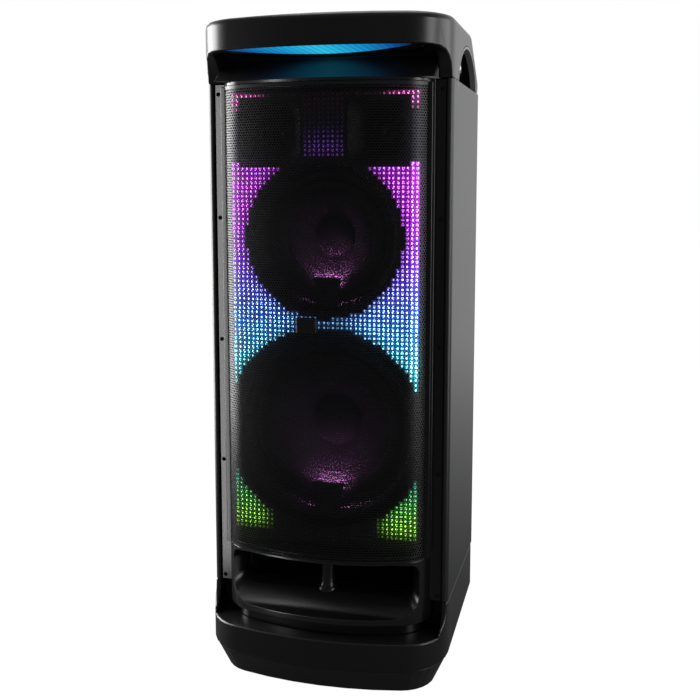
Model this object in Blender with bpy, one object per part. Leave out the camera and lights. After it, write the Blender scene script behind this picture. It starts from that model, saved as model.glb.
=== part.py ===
"""Two-way tower party speaker: moulded frame, curved grille, light panels, two woofers and two horns."""

import math

import bmesh
import bpy
import numpy

# Driving dimensions, in metres. X runs across the front, the front faces -Y and Z is up.
WIDTH = 0.370
DEPTH = 0.344
HEIGHT = 0.980
FIT = 0.0004
SKIN = 0.004
BOARD = 0.012

# Outer frame: cap, side panels, bumper and foot share one bowed plan outline.
FRONT_BOW = 0.530
FRONT_CORNER = 0.075
REAR_CORNER = 0.012
PANEL_THICK = 0.010
PANEL_SETBACK = 0.076
WINDOW_FILLET = 0.042
CAP_HEIGHT = 0.085
BAR_HEIGHT = 0.044
BAR_DEPTH = 0.044
CAP_ROUND = 0.009
STRAP_THICK = 0.022
ARCH_DROP = 0.015
ARCH_CROWN = 0.014
LINER = 0.004
TONGUE = 0.008
BASE_TOP = 0.128
BUMPER_TOP = 0.083
SEAM_FRONT = 0.040
SEAM_REAR = 0.056
FOOT_TAPER = 0.020
PAD_STANDOUT = 0.0015
PAD_WIDE = 0.008
EDGE_ROUND = 0.003

# Front column: the housing that carries the grille, and the bass port under it.
GROOVE = 0.015
HOUSING_SETBACK = 0.016
HOUSING_BOW = 0.340
HOUSING_CORNER = 0.060
HOUSING_WALL = 0.006
GRILLE_THICK = 0.0015
GRILLE_HEM = 0.010
GRILLE_COLUMNS = 6
GRILLE_ROWS = 11
PORT_TOP = 0.192
PORT_FLOOR = 0.135
LIP_TOP = 0.114
LIP_BOTTOM = 0.101
PILLAR_RADIUS = 0.010
BAFFLE_THICK = 0.015
DUCT_LONG = 0.075
REAR_SETBACK = 0.020
REAR_THICK = 0.006

# Sound and light
LED_THICK = 0.0025
LED_MARGIN = 0.019
LED_CLEAR = 0.00734
LED_ROOM = 0.037
UPPER_SHARE = 0.682
LOWER_SHARE = 0.269
HORN_SHARE = 0.905
UPPER_SCALE = 0.150
LOWER_SCALE = 0.189
HORN_SCALE = 0.066
UPPER_WIDE = 0.650
LOWER_WIDE = 0.818
HORN_WIDE = 0.287
HORN_NECK = 0.030
FLANGE_LAP = 0.0105
SURROUND_WIDE = 0.034
UPPER_TRAVEL = 0.004
LOWER_TRAVEL = 0.005
COIL_RADIUS = 0.019

# Controls, in and out
BUTTON_TRAVEL = 0.001
BUTTON_WIDE = 0.009
BUTTON_LONG = 0.006
BUTTON_PITCH = 0.026
BUTTONS = ("power", "source", "light", "bass", "play", "pairing")
CONTROL_THICK = 0.003
KNOB_RADIUS = 0.022
TRAY_DEPTH = 0.014
WHEEL_RADIUS = 0.0345
WHEEL_WIDTH = 0.026
AXLE_RADIUS = 0.004
INPUT_HALF = 0.072
INPUT_TALL = 0.170
JACK_RADIUS = 0.0095
SMALL_KNOB = 0.0095
ROCKER_ANGLE = 9
SINK_HALF = 0.060
SINK_TALL = 0.108
SINK_BASE = 0.005
FIN_DEEP = 0.024
FIN_PITCH = 0.014
FIN_HALF = 0.001
CARD_HALF = 0.075
CARD_THICK = 0.0016
CARD_DROP = 0.020
PACK_HALF = 0.105
PACK_TALL = 0.085
PACK_ROOM = 0.005
INPUT_GAP = 0.012

# Places worked out from the driving dimensions
HALF = WIDTH / 2
FRONT = -DEPTH / 2
BACK = DEPTH / 2
PANEL_FRONT = FRONT + PANEL_SETBACK
PANEL_INNER = HALF - PANEL_THICK
CAP_Z = HEIGHT - CAP_HEIGHT
BAR_Z = HEIGHT - BAR_HEIGHT
BAR_BACK = FRONT + BAR_DEPTH
HOUSING_HALF = PANEL_INNER - GROOVE
HOUSING_FRONT = FRONT + HOUSING_SETBACK
CORNER_X = HOUSING_HALF - HOUSING_CORNER
BOW_Y = HOUSING_FRONT + HOUSING_BOW
CORNER_Y = BOW_Y - math.sqrt((HOUSING_BOW - HOUSING_CORNER) ** 2 - CORNER_X**2)
LED_HALF = HOUSING_HALF - LED_MARGIN
LED_FRONT = CORNER_Y - math.sqrt(HOUSING_CORNER**2 - (LED_HALF - CORNER_X) ** 2) + LED_CLEAR
LED_BACK = LED_FRONT + LED_THICK
BAFFLE_FRONT = LED_BACK + LED_ROOM
BAFFLE_BACK = BAFFLE_FRONT + BAFFLE_THICK
REAR_FRONT = BACK - REAR_SETBACK
PLATE_BACK = REAR_FRONT - FIT
HOUSING_TOP = CAP_Z - FIT
GRILLE_BOTTOM = PORT_TOP + HOUSING_WALL
GRILLE_TOP = HOUSING_TOP - HOUSING_WALL
GRILLE_HALF = HOUSING_HALF - GRILLE_HEM
SPAN = GRILLE_TOP - GRILLE_BOTTOM
UPPER_Z = GRILLE_BOTTOM + UPPER_SHARE * SPAN
LOWER_Z = GRILLE_BOTTOM + LOWER_SHARE * SPAN
HORN_Z = GRILLE_BOTTOM + HORN_SHARE * SPAN
HORN_X = 0.49 * HOUSING_HALF
HORN_HALF = min(HORN_SCALE * SPAN, HORN_WIDE * HOUSING_HALF)
UPPER_RADIUS = min(UPPER_SCALE * SPAN, UPPER_WIDE * HOUSING_HALF)
LOWER_RADIUS = min(LOWER_SCALE * SPAN, LOWER_WIDE * HOUSING_HALF)
LEDGE_X = LED_HALF - 0.0045
ROOF_Z = BAR_Z + 0.005
TRAY_Z = HEIGHT - TRAY_DEPTH
FLOOR_Z = BUMPER_TOP + FIT + BOARD
ARCH_Y = 0.134 * DEPTH
ARCH_Z = CAP_Z - ARCH_DROP
ARCH_LONG = 0.282 * DEPTH
ARCH_TALL = CAP_HEIGHT - ARCH_CROWN
WHEEL_X = 0.62 * HALF
WHEEL_Z = WHEEL_RADIUS + 0.0025
WHEEL_Y = BACK - WHEEL_RADIUS - 0.0035
PAD_HALF = 0.42 * HALF
PADS = ((0.62 * FRONT, "front"), (0.60 * BACK, "rear"))
INPUT_HIGH = 0.745 * HEIGHT
INPUT_LOW = INPUT_HIGH - INPUT_TALL
OVER = 0.02
SMOOTH_ANGLE = math.radians(40)


def clear_scene():
    for old in list(bpy.data.objects):
        bpy.data.objects.remove(old, do_unlink=True)


def colour_of(code):
    """A colour written as the screen shows it, as the linear values that a shader takes."""
    parts = [int(code[i : i + 2], 16) / 255 for i in (0, 2, 4)]
    return [p / 12.92 if p <= 0.04045 else ((p + 0.055) / 1.055) ** 2.4 for p in parts] + [1.0]


def finish(obj, code, roughness, metallic=0.0, glow=0.0):
    material = bpy.data.materials.new(obj.name)
    material.use_nodes = True
    shader = material.node_tree.nodes["Principled BSDF"]
    shader.inputs["Base Color"].default_value = colour_of(code)
    shader.inputs["Roughness"].default_value = roughness
    shader.inputs["Metallic"].default_value = metallic
    shader.inputs["Emission Color"].default_value = colour_of(code)
    shader.inputs["Emission Strength"].default_value = glow
    obj.data.materials.clear()
    obj.data.materials.append(material)
    return obj


def stand(name, mesh, place=(0, 0, 0), parent=None):
    """A new object of this name, seated in its place or on the empty that carries it."""
    obj = bpy.data.objects.new(name, mesh)
    bpy.context.scene.collection.objects.link(obj)
    obj.location = place
    obj.parent = parent
    return obj


def mesh_of(name, bm):
    bmesh.ops.remove_doubles(bm, verts=bm.verts, dist=1e-7)
    bmesh.ops.dissolve_degenerate(bm, edges=bm.edges, dist=1e-7)
    bmesh.ops.recalc_face_normals(bm, faces=bm.faces)
    mesh = bpy.data.meshes.new(name)
    bm.to_mesh(mesh)
    bm.free()
    mesh.polygons.foreach_set("use_smooth", [True] * len(mesh.polygons))
    mesh.set_sharp_from_angle(angle=SMOOTH_ANGLE)
    return mesh


def loft(name, rings, place=(0, 0, 0), parent=None):
    """A closed skin through rings with the same number of points, capped at both ends."""
    bm = bmesh.new()
    loops = [[bm.verts.new(point) for point in ring] for ring in rings]
    count = len(rings[0])
    for low, high in zip(loops, loops[1:]):
        for i in range(count):
            j = (i + 1) % count
            bm.faces.new((low[i], low[j], high[j], high[i]))
    bm.faces.new(loops[0])
    bm.faces.new(loops[-1])
    return stand(name, mesh_of(name, bm), place, parent)


def on_axis(axis, outline, along):
    """Points of a flat outline set square to an axis, at this distance along it."""
    if axis == "X":
        return [(along, u, v) for u, v in outline]
    if axis == "Y":
        return [(u, along, v) for u, v in outline]
    return [(u, v, along) for u, v in outline]


def extrude(name, axis, outline, low, high, place=(0, 0, 0), parent=None):
    return loft(name, [on_axis(axis, outline, low), on_axis(axis, outline, high)], place, parent)


def revolve(name, axis, profile, steps, place=(0, 0, 0), parent=None):
    """A closed profile of (radius, distance along the axis) points, turned once round the axis."""
    bm = bmesh.new()
    loops = []
    for step in range(steps):
        turn = 2 * math.pi * (step + 0.5) / steps
        side, lift = math.cos(turn), math.sin(turn)
        ring = [on_axis(axis, [(r * side, r * lift)], t)[0] for r, t in profile]
        loops.append([bm.verts.new(point) for point in ring])
    for i in range(steps):
        near, far = loops[i], loops[(i + 1) % steps]
        for a in range(len(profile)):
            b = (a + 1) % len(profile)
            if profile[a][0] or profile[b][0]:
                bm.faces.new((near[a], near[b], far[b], far[a]))
    return stand(name, mesh_of(name, bm), place, parent)


def use(target, operation, others):
    for other in others:
        modifier = target.modifiers.new(operation.lower() + "_" + other.name, "BOOLEAN")
        modifier.operation = operation
        modifier.object = other
        other.hide_render = True
        other.display_type = "WIRE"
    return target


def cut(target, *cutters):
    return use(target, "DIFFERENCE", cutters)


def fuse(target, *others):
    return use(target, "UNION", others)


def arc(centre, radius, start, end, steps):
    """Points along an arc, from one angle to another, in degrees."""
    angles = [math.radians(start + (end - start) * i / steps) for i in range(steps + 1)]
    return [(centre[0] + radius * math.cos(a), centre[1] + radius * math.sin(a)) for a in angles]


def rounded(half_wide, low, high, radius, steps=3, middle=0.0):
    """A rectangle with rounded corners, from low to high in its second coordinate."""
    right, left = middle + half_wide - radius, middle - half_wide + radius
    points = arc((right, low + radius), radius, -90, 0, steps)
    points += arc((right, high - radius), radius, 0, 90, steps)
    points += arc((left, high - radius), radius, 90, 180, steps)
    return points + arc((left, low + radius), radius, 180, 270, steps)


def box(left, right, low, high):
    return [(left, low), (right, low), (right, high), (left, high)]


def bowed_front(half, front, bow, corner, steps=6):
    """The front of a plan outline from left to right: an arc blended into straight sides."""
    centre_y = front + bow
    corner_x = half - corner
    corner_y = centre_y - math.sqrt((bow - corner) ** 2 - corner_x**2)
    sweep = math.degrees(math.atan2(corner_x, centre_y - corner_y))
    points = arc((-corner_x, corner_y), corner, 180, 270 - sweep, steps)
    points += arc((0, centre_y), bow, 270 - sweep, 270 + sweep, steps)[1:-1]
    return points + arc((corner_x, corner_y), corner, 270 + sweep, 360, steps)


def frame_outline(inset=0.0, back_inset=None):
    """Plan outline of the outer frame, drawn in by an inset."""
    back = BACK - (inset if back_inset is None else back_inset)
    radius = max(REAR_CORNER - inset, 0.004)
    half = HALF - inset
    points = bowed_front(half, FRONT + inset, FRONT_BOW - inset, FRONT_CORNER - inset)
    points += arc((half - radius, back - radius), radius, 0, 90, 3)
    return points + arc((radius - half, back - radius), radius, 90, 180, 3)


def housing_front(inset=0.0):
    half = HOUSING_HALF - inset
    corner = HOUSING_CORNER - inset
    return bowed_front(half, HOUSING_FRONT + inset, HOUSING_BOW - inset, corner)


def housing_outline(inset=0.0, back=BAFFLE_FRONT - FIT):
    front = [p for p in housing_front(inset) if p[1] < back - FIT]
    return front + [(front[-1][0], back), (front[0][0], back)]


def housing_y(x, inset=0.0):
    """Depth of the housing's skin at this distance from the middle."""
    turn = (HOUSING_BOW - inset) * CORNER_X / (HOUSING_BOW - HOUSING_CORNER)
    if abs(x) <= turn:
        return BOW_Y - math.sqrt((HOUSING_BOW - inset) ** 2 - x**2)
    return CORNER_Y - math.sqrt((HOUSING_CORNER - inset) ** 2 - (abs(x) - CORNER_X) ** 2)


def seam(y):
    """Height of the joint between the bumper and the foot, which rises to the back."""
    return SEAM_FRONT + (SEAM_REAR - SEAM_FRONT) * (y - FRONT) / DEPTH


def arch_band(inner, outer, low=0.0):
    """Upright half-ring in the side view, between two distances outside the arch."""
    turns = [math.pi * i / 14 for i in range(15)]
    legs = [(ARCH_LONG, ARCH_TALL, outer, turns), (ARCH_LONG, ARCH_TALL, inner, turns[::-1])]
    points = []
    for long, tall, more, order in legs:
        for turn in order:
            lift = max((tall + more) * math.sin(turn), 0.0) - low
            points.append((ARCH_Y + (long + more) * math.cos(turn), ARCH_Z + lift))
    return points


def arch_hole(more):
    turns = [math.pi * i / 14 for i in range(15)]
    across, up = ARCH_LONG + more, ARCH_TALL + more
    points = [(ARCH_Y + across * math.cos(t), ARCH_Z + up * math.sin(t)) for t in turns]
    return points + [(ARCH_Y - across, ARCH_Z - 0.05), (ARCH_Y + across, ARCH_Z - 0.05)]


def side_panels():
    """Flat satin panels that close the sides; a tongue on top locates the cap between the arch legs."""
    top = CAP_Z - FIT
    tongue = 0.87 * ARCH_LONG
    outline = [(PANEL_FRONT, BASE_TOP + FIT), (BACK, BASE_TOP + FIT), (BACK, top)]
    outline += [(ARCH_Y + tongue, top), (ARCH_Y + tongue, top + TONGUE)]
    outline += [(ARCH_Y - tongue, top + TONGUE), (ARCH_Y - tongue, top), (PANEL_FRONT, top)]
    for side, name in ((-1, "left"), (1, "right")):
        panel = extrude(f"side_panel_{name}", "X", outline, side * PANEL_INNER, side * HALF)
        low, high = sorted((side * PANEL_INNER - 0.01 * side, side * HALF + 0.01 * side))
        slits = extrude(f"cut_liner_{name}", "X", arch_band(-FIT, LINER + FIT, FIT), low, high)
        cut(panel, slits)
        soften = panel.modifiers.new("soften", "BEVEL")
        soften.width = EDGE_ROUND
        soften.segments = 2
        soften.limit_method = "ANGLE"
        soften.angle_limit = math.radians(60)
        panel.modifiers.move(1, 0)
        finish(panel, "4A4B4D", 0.42)
        near, far = side * (PANEL_INNER + FIT), side * HALF
        liner = extrude(f"side_grip_{name}", "X", arch_band(0.0, LINER), near, far)
        finish(liner, "6E6F72", 0.38)


def top_cap():
    """Hollow moulding: carrying bar in front, finger arches at the sides and a control tray on top."""
    rings = [on_axis("Z", frame_outline(), CAP_Z)]
    for step in range(4):
        turn = math.radians(30 * step)
        draw = CAP_ROUND * (1 - math.cos(turn))
        rings.append(on_axis("Z", frame_outline(draw), HEIGHT - CAP_ROUND * (1 - math.sin(turn))))
    cap = loft("top_cap", rings)
    fillet = arc((PANEL_FRONT - WINDOW_FILLET, BAR_Z - WINDOW_FILLET), WINDOW_FILLET, 0, 90, 6)
    window = [(PANEL_FRONT, CAP_Z - OVER)] + fillet
    window += [(FRONT - OVER, BAR_Z), (FRONT - OVER, CAP_Z - OVER)]
    slope_y, slope_round, slope = 0.316 * BACK, 0.050, 37
    crest = arc((slope_y, HEIGHT - slope_round), slope_round, 90, 90 - slope, 4)
    fall = math.tan(math.radians(slope)) * (BACK + OVER - crest[-1][0])
    rear = crest + [(BACK + OVER, crest[-1][1] - fall), (BACK + OVER, HEIGHT + OVER)]
    rear += [(slope_y, HEIGHT + OVER)]
    inner = HALF - STRAP_THICK
    back_wall = ARCH_Y + ARCH_LONG - 0.006
    channel = rounded(inner, BAR_BACK, back_wall, 0.010, 3)
    hollow = box(-HOUSING_HALF + 0.020, HOUSING_HALF - 0.020, BAR_BACK, back_wall)
    cut(
        cap,
        extrude("cut_window", "X", window, -HALF - OVER, HALF + OVER),
        extrude("cut_rear_slope", "X", rear, -HALF - OVER, HALF + OVER),
        extrude("cut_channel", "Z", channel, CAP_Z - OVER, BAR_Z + 0.020),
        extrude("cut_hollow", "Z", hollow, CAP_Z - OVER, TRAY_Z - 0.006),
        extrude("cut_arches", "X", arch_hole(LINER + FIT), -HALF - OVER, HALF + OVER),
        extrude("cut_tray", "Z", tray_outline(0.0), TRAY_Z, HEIGHT + OVER),
        extrude("cut_lens", "Z", lens_outline(FIT), BAR_Z - OVER, BAR_Z + 0.003),
    )
    finish(cap, "26272A", 0.45)


def tray_outline(inset):
    return rounded(0.62 * HALF - inset, 0.50 * FRONT + inset, 0.26 * BACK - inset, 0.018 - inset)


def lens_outline(more):
    """Pointed oval of the light under the bar: a shallow front arc and a deeper rear one."""
    tip = 0.84 * HOUSING_HALF + more
    near, far = FRONT + 0.010 - more, PANEL_FRONT + 0.016 + more
    meet = near + tip * tip / (2 * FRONT_BOW)
    xs = [tip * (i / 8 - 1) for i in range(17)]
    front = [(x, near + (meet - near) * (x / tip) ** 2) for x in xs]
    rear = [(x, far + (meet - far) * (x / tip) ** 2) for x in xs[-2:0:-1]]
    return front + rear


def handle_recess():
    """Scoop behind the bar: a sloping panel, closed at both ends, under a flat roof."""
    half = HOUSING_HALF - 0.0205
    low = CAP_Z + FIT
    back = ARCH_Y + ARCH_LONG - 0.006 - FIT
    foot_y, throat_y = HOUSING_FRONT + 0.031, PANEL_FRONT + 0.020
    front = BAR_BACK + FIT
    outline = [(foot_y, low), (back, low), (back, ROOF_Z), (front, ROOF_Z), (front, BAR_Z)]
    outline += [(throat_y - 0.006, BAR_Z), (throat_y, BAR_Z - 0.006)]
    recess = extrude("handle_recess", "X", outline, -half, half)
    inside = [(foot_y + 0.006, low - 0.01), (back - SKIN, low - 0.01), (back - SKIN, BAR_Z)]
    inside += [(throat_y + 0.006, BAR_Z), (throat_y + 0.006, BAR_Z - 0.008)]
    hollow = extrude("cut_recess", "X", inside, -half + SKIN, half - SKIN)
    pocket = extrude("cut_recess_lens", "Z", lens_outline(FIT), BAR_Z - 0.01, BAR_Z + 0.003)
    cut(recess, hollow, pocket)
    finish(recess, "1C1D20", 0.40)
    lens = extrude("handle_light", "Z", lens_outline(0.0), BAR_Z - 0.0005, BAR_Z + 0.003 - FIT)
    finish(lens, "2FC4EE", 0.30, glow=3.0)


def controls():
    """Panel in the cap's tray with a turning volume knob between two rows of push buttons."""
    top = TRAY_Z + FIT + CONTROL_THICK
    panel = extrude("control_panel", "Z", tray_outline(FIT), TRAY_Z + FIT, top)
    finish(panel, "141517", 0.30)
    middle = 0.12 * FRONT
    bore = COIL_RADIUS / 4
    spindle = ring_profile(0, bore + FIT, -OVER, OVER)
    cut(panel, revolve("cut_spindle", "Z", spindle, 16, (0, middle, top)))
    grip = [(0, 0.0095), (KNOB_RADIUS - 0.0012, 0.0095), (KNOB_RADIUS, 0.0080), (KNOB_RADIUS, 0.0005)]
    grip += [(bore, 0.0005), (bore, -CONTROL_THICK), (0, -CONTROL_THICK)]
    knob = revolve("volume_knob", "Z", grip, 28, (0, middle, top))
    finish(knob, "2B2C2F", 0.35)
    rise = 0.0018
    for i, word in enumerate(BUTTONS):
        side = -1 if i < 3 else 1
        x = side * (KNOB_RADIUS + BUTTON_PITCH * (i % 3 + 0.75))
        outline = rounded(BUTTON_WIDE, -BUTTON_LONG, BUTTON_LONG, 0.003, 2)
        well = rounded(BUTTON_WIDE + FIT, -BUTTON_LONG - FIT, BUTTON_LONG + FIT, 0.003 + FIT, 2)
        cut(panel, extrude(f"cut_{word}", "Z", well, -OVER, OVER, (x, middle, top)))
        low = -CONTROL_THICK + BUTTON_TRAVEL + FIT
        button = extrude(f"button_{word}", "Z", outline, low, rise, (x, middle, top))
        finish(button, "38393C", 0.50)


def ring_profile(inner, outer, low, high):
    return [(inner, low), (outer, low), (outer, high), (inner, high)]


def base_bumper():
    """Moulded base: bowed bumper in front, walls that carry the side panels, open underneath."""
    outline = frame_outline()
    rings = [[(x, y, seam(y) + FIT) for x, y in outline], on_axis("Z", outline, BASE_TOP)]
    bumper = loft("base_bumper", rings)
    fillet = arc((PANEL_FRONT - WINDOW_FILLET, BUMPER_TOP + WINDOW_FILLET), WINDOW_FILLET, 0, -90, 6)
    step = [(PANEL_FRONT, BASE_TOP + OVER)] + fillet
    step += [(FRONT - OVER, BUMPER_TOP), (FRONT - OVER, BASE_TOP + OVER)]
    seat = box(-PANEL_INNER, PANEL_INNER, PANEL_FRONT - 0.06, BACK + OVER)
    under = frame_outline(0.008)
    cut(
        bumper,
        extrude("cut_step", "X", step, -HALF - OVER, HALF + OVER),
        extrude("cut_seat", "Z", seat, BUMPER_TOP, BASE_TOP + OVER),
        extrude("cut_under", "Z", under, -OVER, BUMPER_TOP - 0.006),
    )
    finish(bumper, "2A2B2D", 0.42)


def base_foot():
    """Tapered foot, drawn in at the floor, with wells for the two rear wheels and their axle."""
    bottom = PAD_STANDOUT
    low = [(x, y, bottom) for x, y in frame_outline(FOOT_TAPER + 0.002, 0.034)]
    high = [(x, y, seam(y)) for x, y in frame_outline(0.002)]
    foot = loft("base_foot", [low, high])
    tray = [(x, min(y, 0.36 * BACK)) for x, y in frame_outline(FOOT_TAPER + 0.008)]
    hollow = extrude("cut_foot", "Z", tray, bottom + SKIN, BASE_TOP)
    cut(foot, hollow)
    for side, name in ((-1, "left"), (1, "right")):
        place = (side * WHEEL_X, WHEEL_Y, WHEEL_Z)
        gap = 0.004
        reach = WHEEL_RADIUS + gap
        wide = WHEEL_WIDTH / 2 + gap
        well = box(-reach, reach + OVER, -WHEEL_Z - OVER, reach)
        cut(foot, extrude(f"cut_well_{name}", "X", well, -wide, wide, place))
    axle_end = WHEEL_X + WHEEL_WIDTH / 2 + 0.014
    bore = ring_profile(0, AXLE_RADIUS + FIT, -axle_end, axle_end)
    cut(foot, revolve("cut_axle", "X", bore, 16, (0, WHEEL_Y, WHEEL_Z)))
    for y, end in PADS:
        strip = rounded(PAD_HALF, y - PAD_WIDE, y + PAD_WIDE, PAD_WIDE - 0.0005)
        hole = rounded(PAD_HALF + FIT, y - PAD_WIDE - FIT, y + PAD_WIDE + FIT, PAD_WIDE)
        cut(foot, extrude(f"cut_pad_{end}", "Z", hole, -OVER, bottom + 0.002))
        pad = extrude(f"foot_pad_{end}", "Z", strip, 0, bottom + 0.002 - FIT)
        finish(pad, "17181A", 0.85)
    finish(foot, "1F2022", 0.50)


def wheels():
    """Two transport wheels turning on one steel axle across the back of the foot."""
    bore = AXLE_RADIUS + FIT
    half = WHEEL_WIDTH / 2
    profile = [(bore, -half), (0.018, -half), (0.021, -half + 0.004), (WHEEL_RADIUS - 0.006, -half + 0.004)]
    profile += [(WHEEL_RADIUS - 0.004, -half), (WHEEL_RADIUS, -half + 0.004)]
    profile += [(r, -t) for r, t in reversed(profile)]
    for side, name in ((-1, "left"), (1, "right")):
        wheel = revolve(f"wheel_{name}", "X", profile, 18, (side * WHEEL_X, WHEEL_Y, WHEEL_Z))
        finish(wheel, "1B1C1E", 0.70)
    end = WHEEL_X + half + 0.0135
    axle = revolve("wheel_axle", "X", ring_profile(0, AXLE_RADIUS, -end, end), 16, (0, WHEEL_Y, WHEEL_Z))
    finish(axle, "A9ABAE", 0.30, 1.0)


def cabinet():
    """Closed box behind the front: top and bottom boards, drilled baffle and rear panel."""
    inner = PANEL_INNER - FIT
    back = REAR_FRONT - FIT
    top_z = CAP_Z - FIT - BOARD
    lid = extrude("top_board", "Z", box(-inner, inner, BAFFLE_FRONT, back), top_z, CAP_Z - FIT)
    finish(lid, "6B5A45", 0.75)
    low_z = FLOOR_Z - BOARD
    floor = extrude("bottom_board", "Z", box(-inner, inner, BAFFLE_FRONT, back), low_z, FLOOR_Z)
    finish(floor, "6B5A45", 0.75)
    sheet = box(-inner, inner, FLOOR_Z + FIT, top_z - FIT)
    baffle = extrude("front_baffle", "Y", sheet, BAFFLE_FRONT, BAFFLE_BACK)
    finish(baffle, "5C4D3B", 0.75)
    span = (BAFFLE_FRONT - 0.01, BAFFLE_BACK + 0.01)
    for name, z, radius in (("upper", UPPER_Z, UPPER_RADIUS), ("lower", LOWER_Z, LOWER_RADIUS)):
        hole = ring_profile(0, radius - FLANGE_LAP, *span)
        cut(baffle, revolve(f"cut_baffle_{name}", "Y", hole, 20, (0, 0, z)))
    for side, name in ((-1, "left"), (1, "right")):
        square = rounded(HORN_NECK + FIT, -HORN_NECK - FIT, HORN_NECK + FIT, 0.012)
        cut(baffle, extrude(f"cut_baffle_horn_{name}", "Y", square, *span, (side * HORN_X, 0, HORN_Z)))
    slot = rounded(duct_half() + FIT, PORT_FLOOR - SKIN - FIT, PORT_TOP - 0.004 + SKIN + FIT, 0.012)
    cut(baffle, extrude("cut_baffle_port", "Y", slot, *span))
    sheet = box(-inner, inner, FLOOR_Z - BOARD, CAP_Z - FIT)
    rear = extrude("rear_panel", "Y", sheet, REAR_FRONT, REAR_FRONT + REAR_THICK)
    finish(rear, "232426", 0.55)
    opening = rounded(INPUT_HALF - 0.008, INPUT_LOW + 0.008, INPUT_HIGH - 0.008, 0.006)
    cut(rear, extrude("cut_rear_input", "Y", opening, REAR_FRONT - OVER, BACK))


def front_housing():
    """Moulded front column: curved wall, ledges for the light panels, port mouth and side flanges."""
    outer = housing_outline()
    back = BAFFLE_FRONT - FIT
    housing = extrude("front_housing", "Z", outer, LIP_BOTTOM, HOUSING_TOP)
    room = housing_outline(HOUSING_WALL, back + 0.02)
    hollow = extrude("cut_housing_room", "Z", room, GRILLE_BOTTOM + 0.006, GRILLE_TOP - 0.006)
    cut(housing, hollow)
    ledge_low, ledge_high = LED_BACK + FIT, LED_BACK + 0.0035
    for side, name in ((-1, "left"), (1, "right")):
        near, far = sorted((side * LEDGE_X, side * (HOUSING_HALF - 0.002)))
        shelf = box(near, far, ledge_low, ledge_high)
        ledge = extrude(f"add_ledge_{name}", "Z", shelf, GRILLE_BOTTOM, GRILLE_TOP)
        near, far = sorted((side * (HOUSING_HALF - 0.004), side * (PANEL_INNER - FIT)))
        edge = box(near, far, PANEL_FRONT + 0.004, back)
        flange = extrude(f"add_flange_{name}", "Z", edge, BASE_TOP, HOUSING_TOP)
        fuse(housing, ledge, flange)
    plinth = housing_outline(0.012)
    fuse(housing, extrude("add_plinth", "Z", plinth, BUMPER_TOP + FIT, LIP_BOTTOM + 0.002))
    rebate = grille_band(-0.004, GRILLE_THICK + 0.0026, GRILLE_HALF + FIT)
    window = box(-GRILLE_HALF + 0.006, GRILLE_HALF - 0.006, FRONT - 0.02, LED_BACK)
    cut(
        housing,
        extrude("cut_rebate", "Z", rebate, GRILLE_BOTTOM - FIT, GRILLE_TOP + FIT),
        extrude("cut_front_window", "Z", window, GRILLE_BOTTOM + 0.006, GRILLE_TOP - 0.006),
        port_cutter(),
    )
    finish(housing, "17181A", 0.38)


def duct_half():
    return HOUSING_HALF - 0.024


def port_cutter():
    """Flared mouth: rounded openings that widen toward the front, deepest at the floor."""
    rings = []
    mouth, throat = HOUSING_FRONT - 0.01, BAFFLE_FRONT + 0.01
    flare = throat - 0.022 - HOUSING_FRONT
    for step in range(8):
        y = mouth + (throat - 0.022 - mouth) * step / 7
        open_by = max(0.0, min(1.0, (throat - 0.022 - y) / flare))
        spread = 1 - math.sqrt(1 - open_by**2) if open_by < 1 else 1.0
        half = duct_half() - SKIN + 0.012 * spread
        low = PORT_FLOOR - (PORT_FLOOR - LIP_TOP) * spread
        rings.append(on_axis("Y", rounded(half, low, PORT_TOP - 0.004 + 0.003 * spread, 0.018, 5), y))
    rings.append(on_axis("Y", rounded(duct_half() - SKIN, PORT_FLOOR, PORT_TOP - 0.004, 0.018, 5), throat))
    return loft("cut_port", rings)


def port():
    """Bass duct behind the mouth, and the pillar that props the mouth's roof."""
    low, high, half = PORT_FLOOR - SKIN, PORT_TOP - 0.004 + SKIN, duct_half()
    end = BAFFLE_BACK + DUCT_LONG
    duct = extrude("port_duct", "Y", rounded(half, low, high, 0.012), BAFFLE_FRONT + FIT, end)
    bore = rounded(half - SKIN, PORT_FLOOR, PORT_TOP - 0.004, 0.008)
    cut(duct, extrude("cut_duct", "Y", bore, BAFFLE_FRONT - 0.01, end + 0.01))
    finish(duct, "1A1B1D", 0.60)
    tall = PORT_TOP - 0.004 - PORT_FLOOR
    profile = [(0, FIT), (PILLAR_RADIUS * 1.5, FIT), (PILLAR_RADIUS * 1.15, 0.005)]
    profile += [(PILLAR_RADIUS, 0.014)]
    profile += [(PILLAR_RADIUS, tall - 0.008), (PILLAR_RADIUS * 1.3, tall - FIT), (0, tall - FIT)]
    pillar = revolve("port_pillar", "Z", profile, 16, (0, BAFFLE_FRONT - 0.021, PORT_FLOOR))
    finish(pillar, "2A2B2D", 0.35)


def grille_band(near, far, half):
    """Plan band of the grille between two depths under the housing's skin."""
    xs = [half * (i / 14 - 1) for i in range(29)]
    outer = [(x, housing_y(x) + near) for x in xs]
    inner = [(x, housing_y(x, far)) for x in reversed(xs)]
    return outer + inner


def skin_lengths():
    """Pairs of length along the housing's skin and distance from the middle, out to the grille's edge."""
    steps = 200
    pairs = [(0.0, 0.0)]
    for i in range(steps):
        near, far = GRILLE_HALF * i / steps, GRILLE_HALF * (i + 1) / steps
        pairs.append((pairs[-1][0] + math.hypot(far - near, housing_y(far) - housing_y(near)), far))
    return pairs


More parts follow.
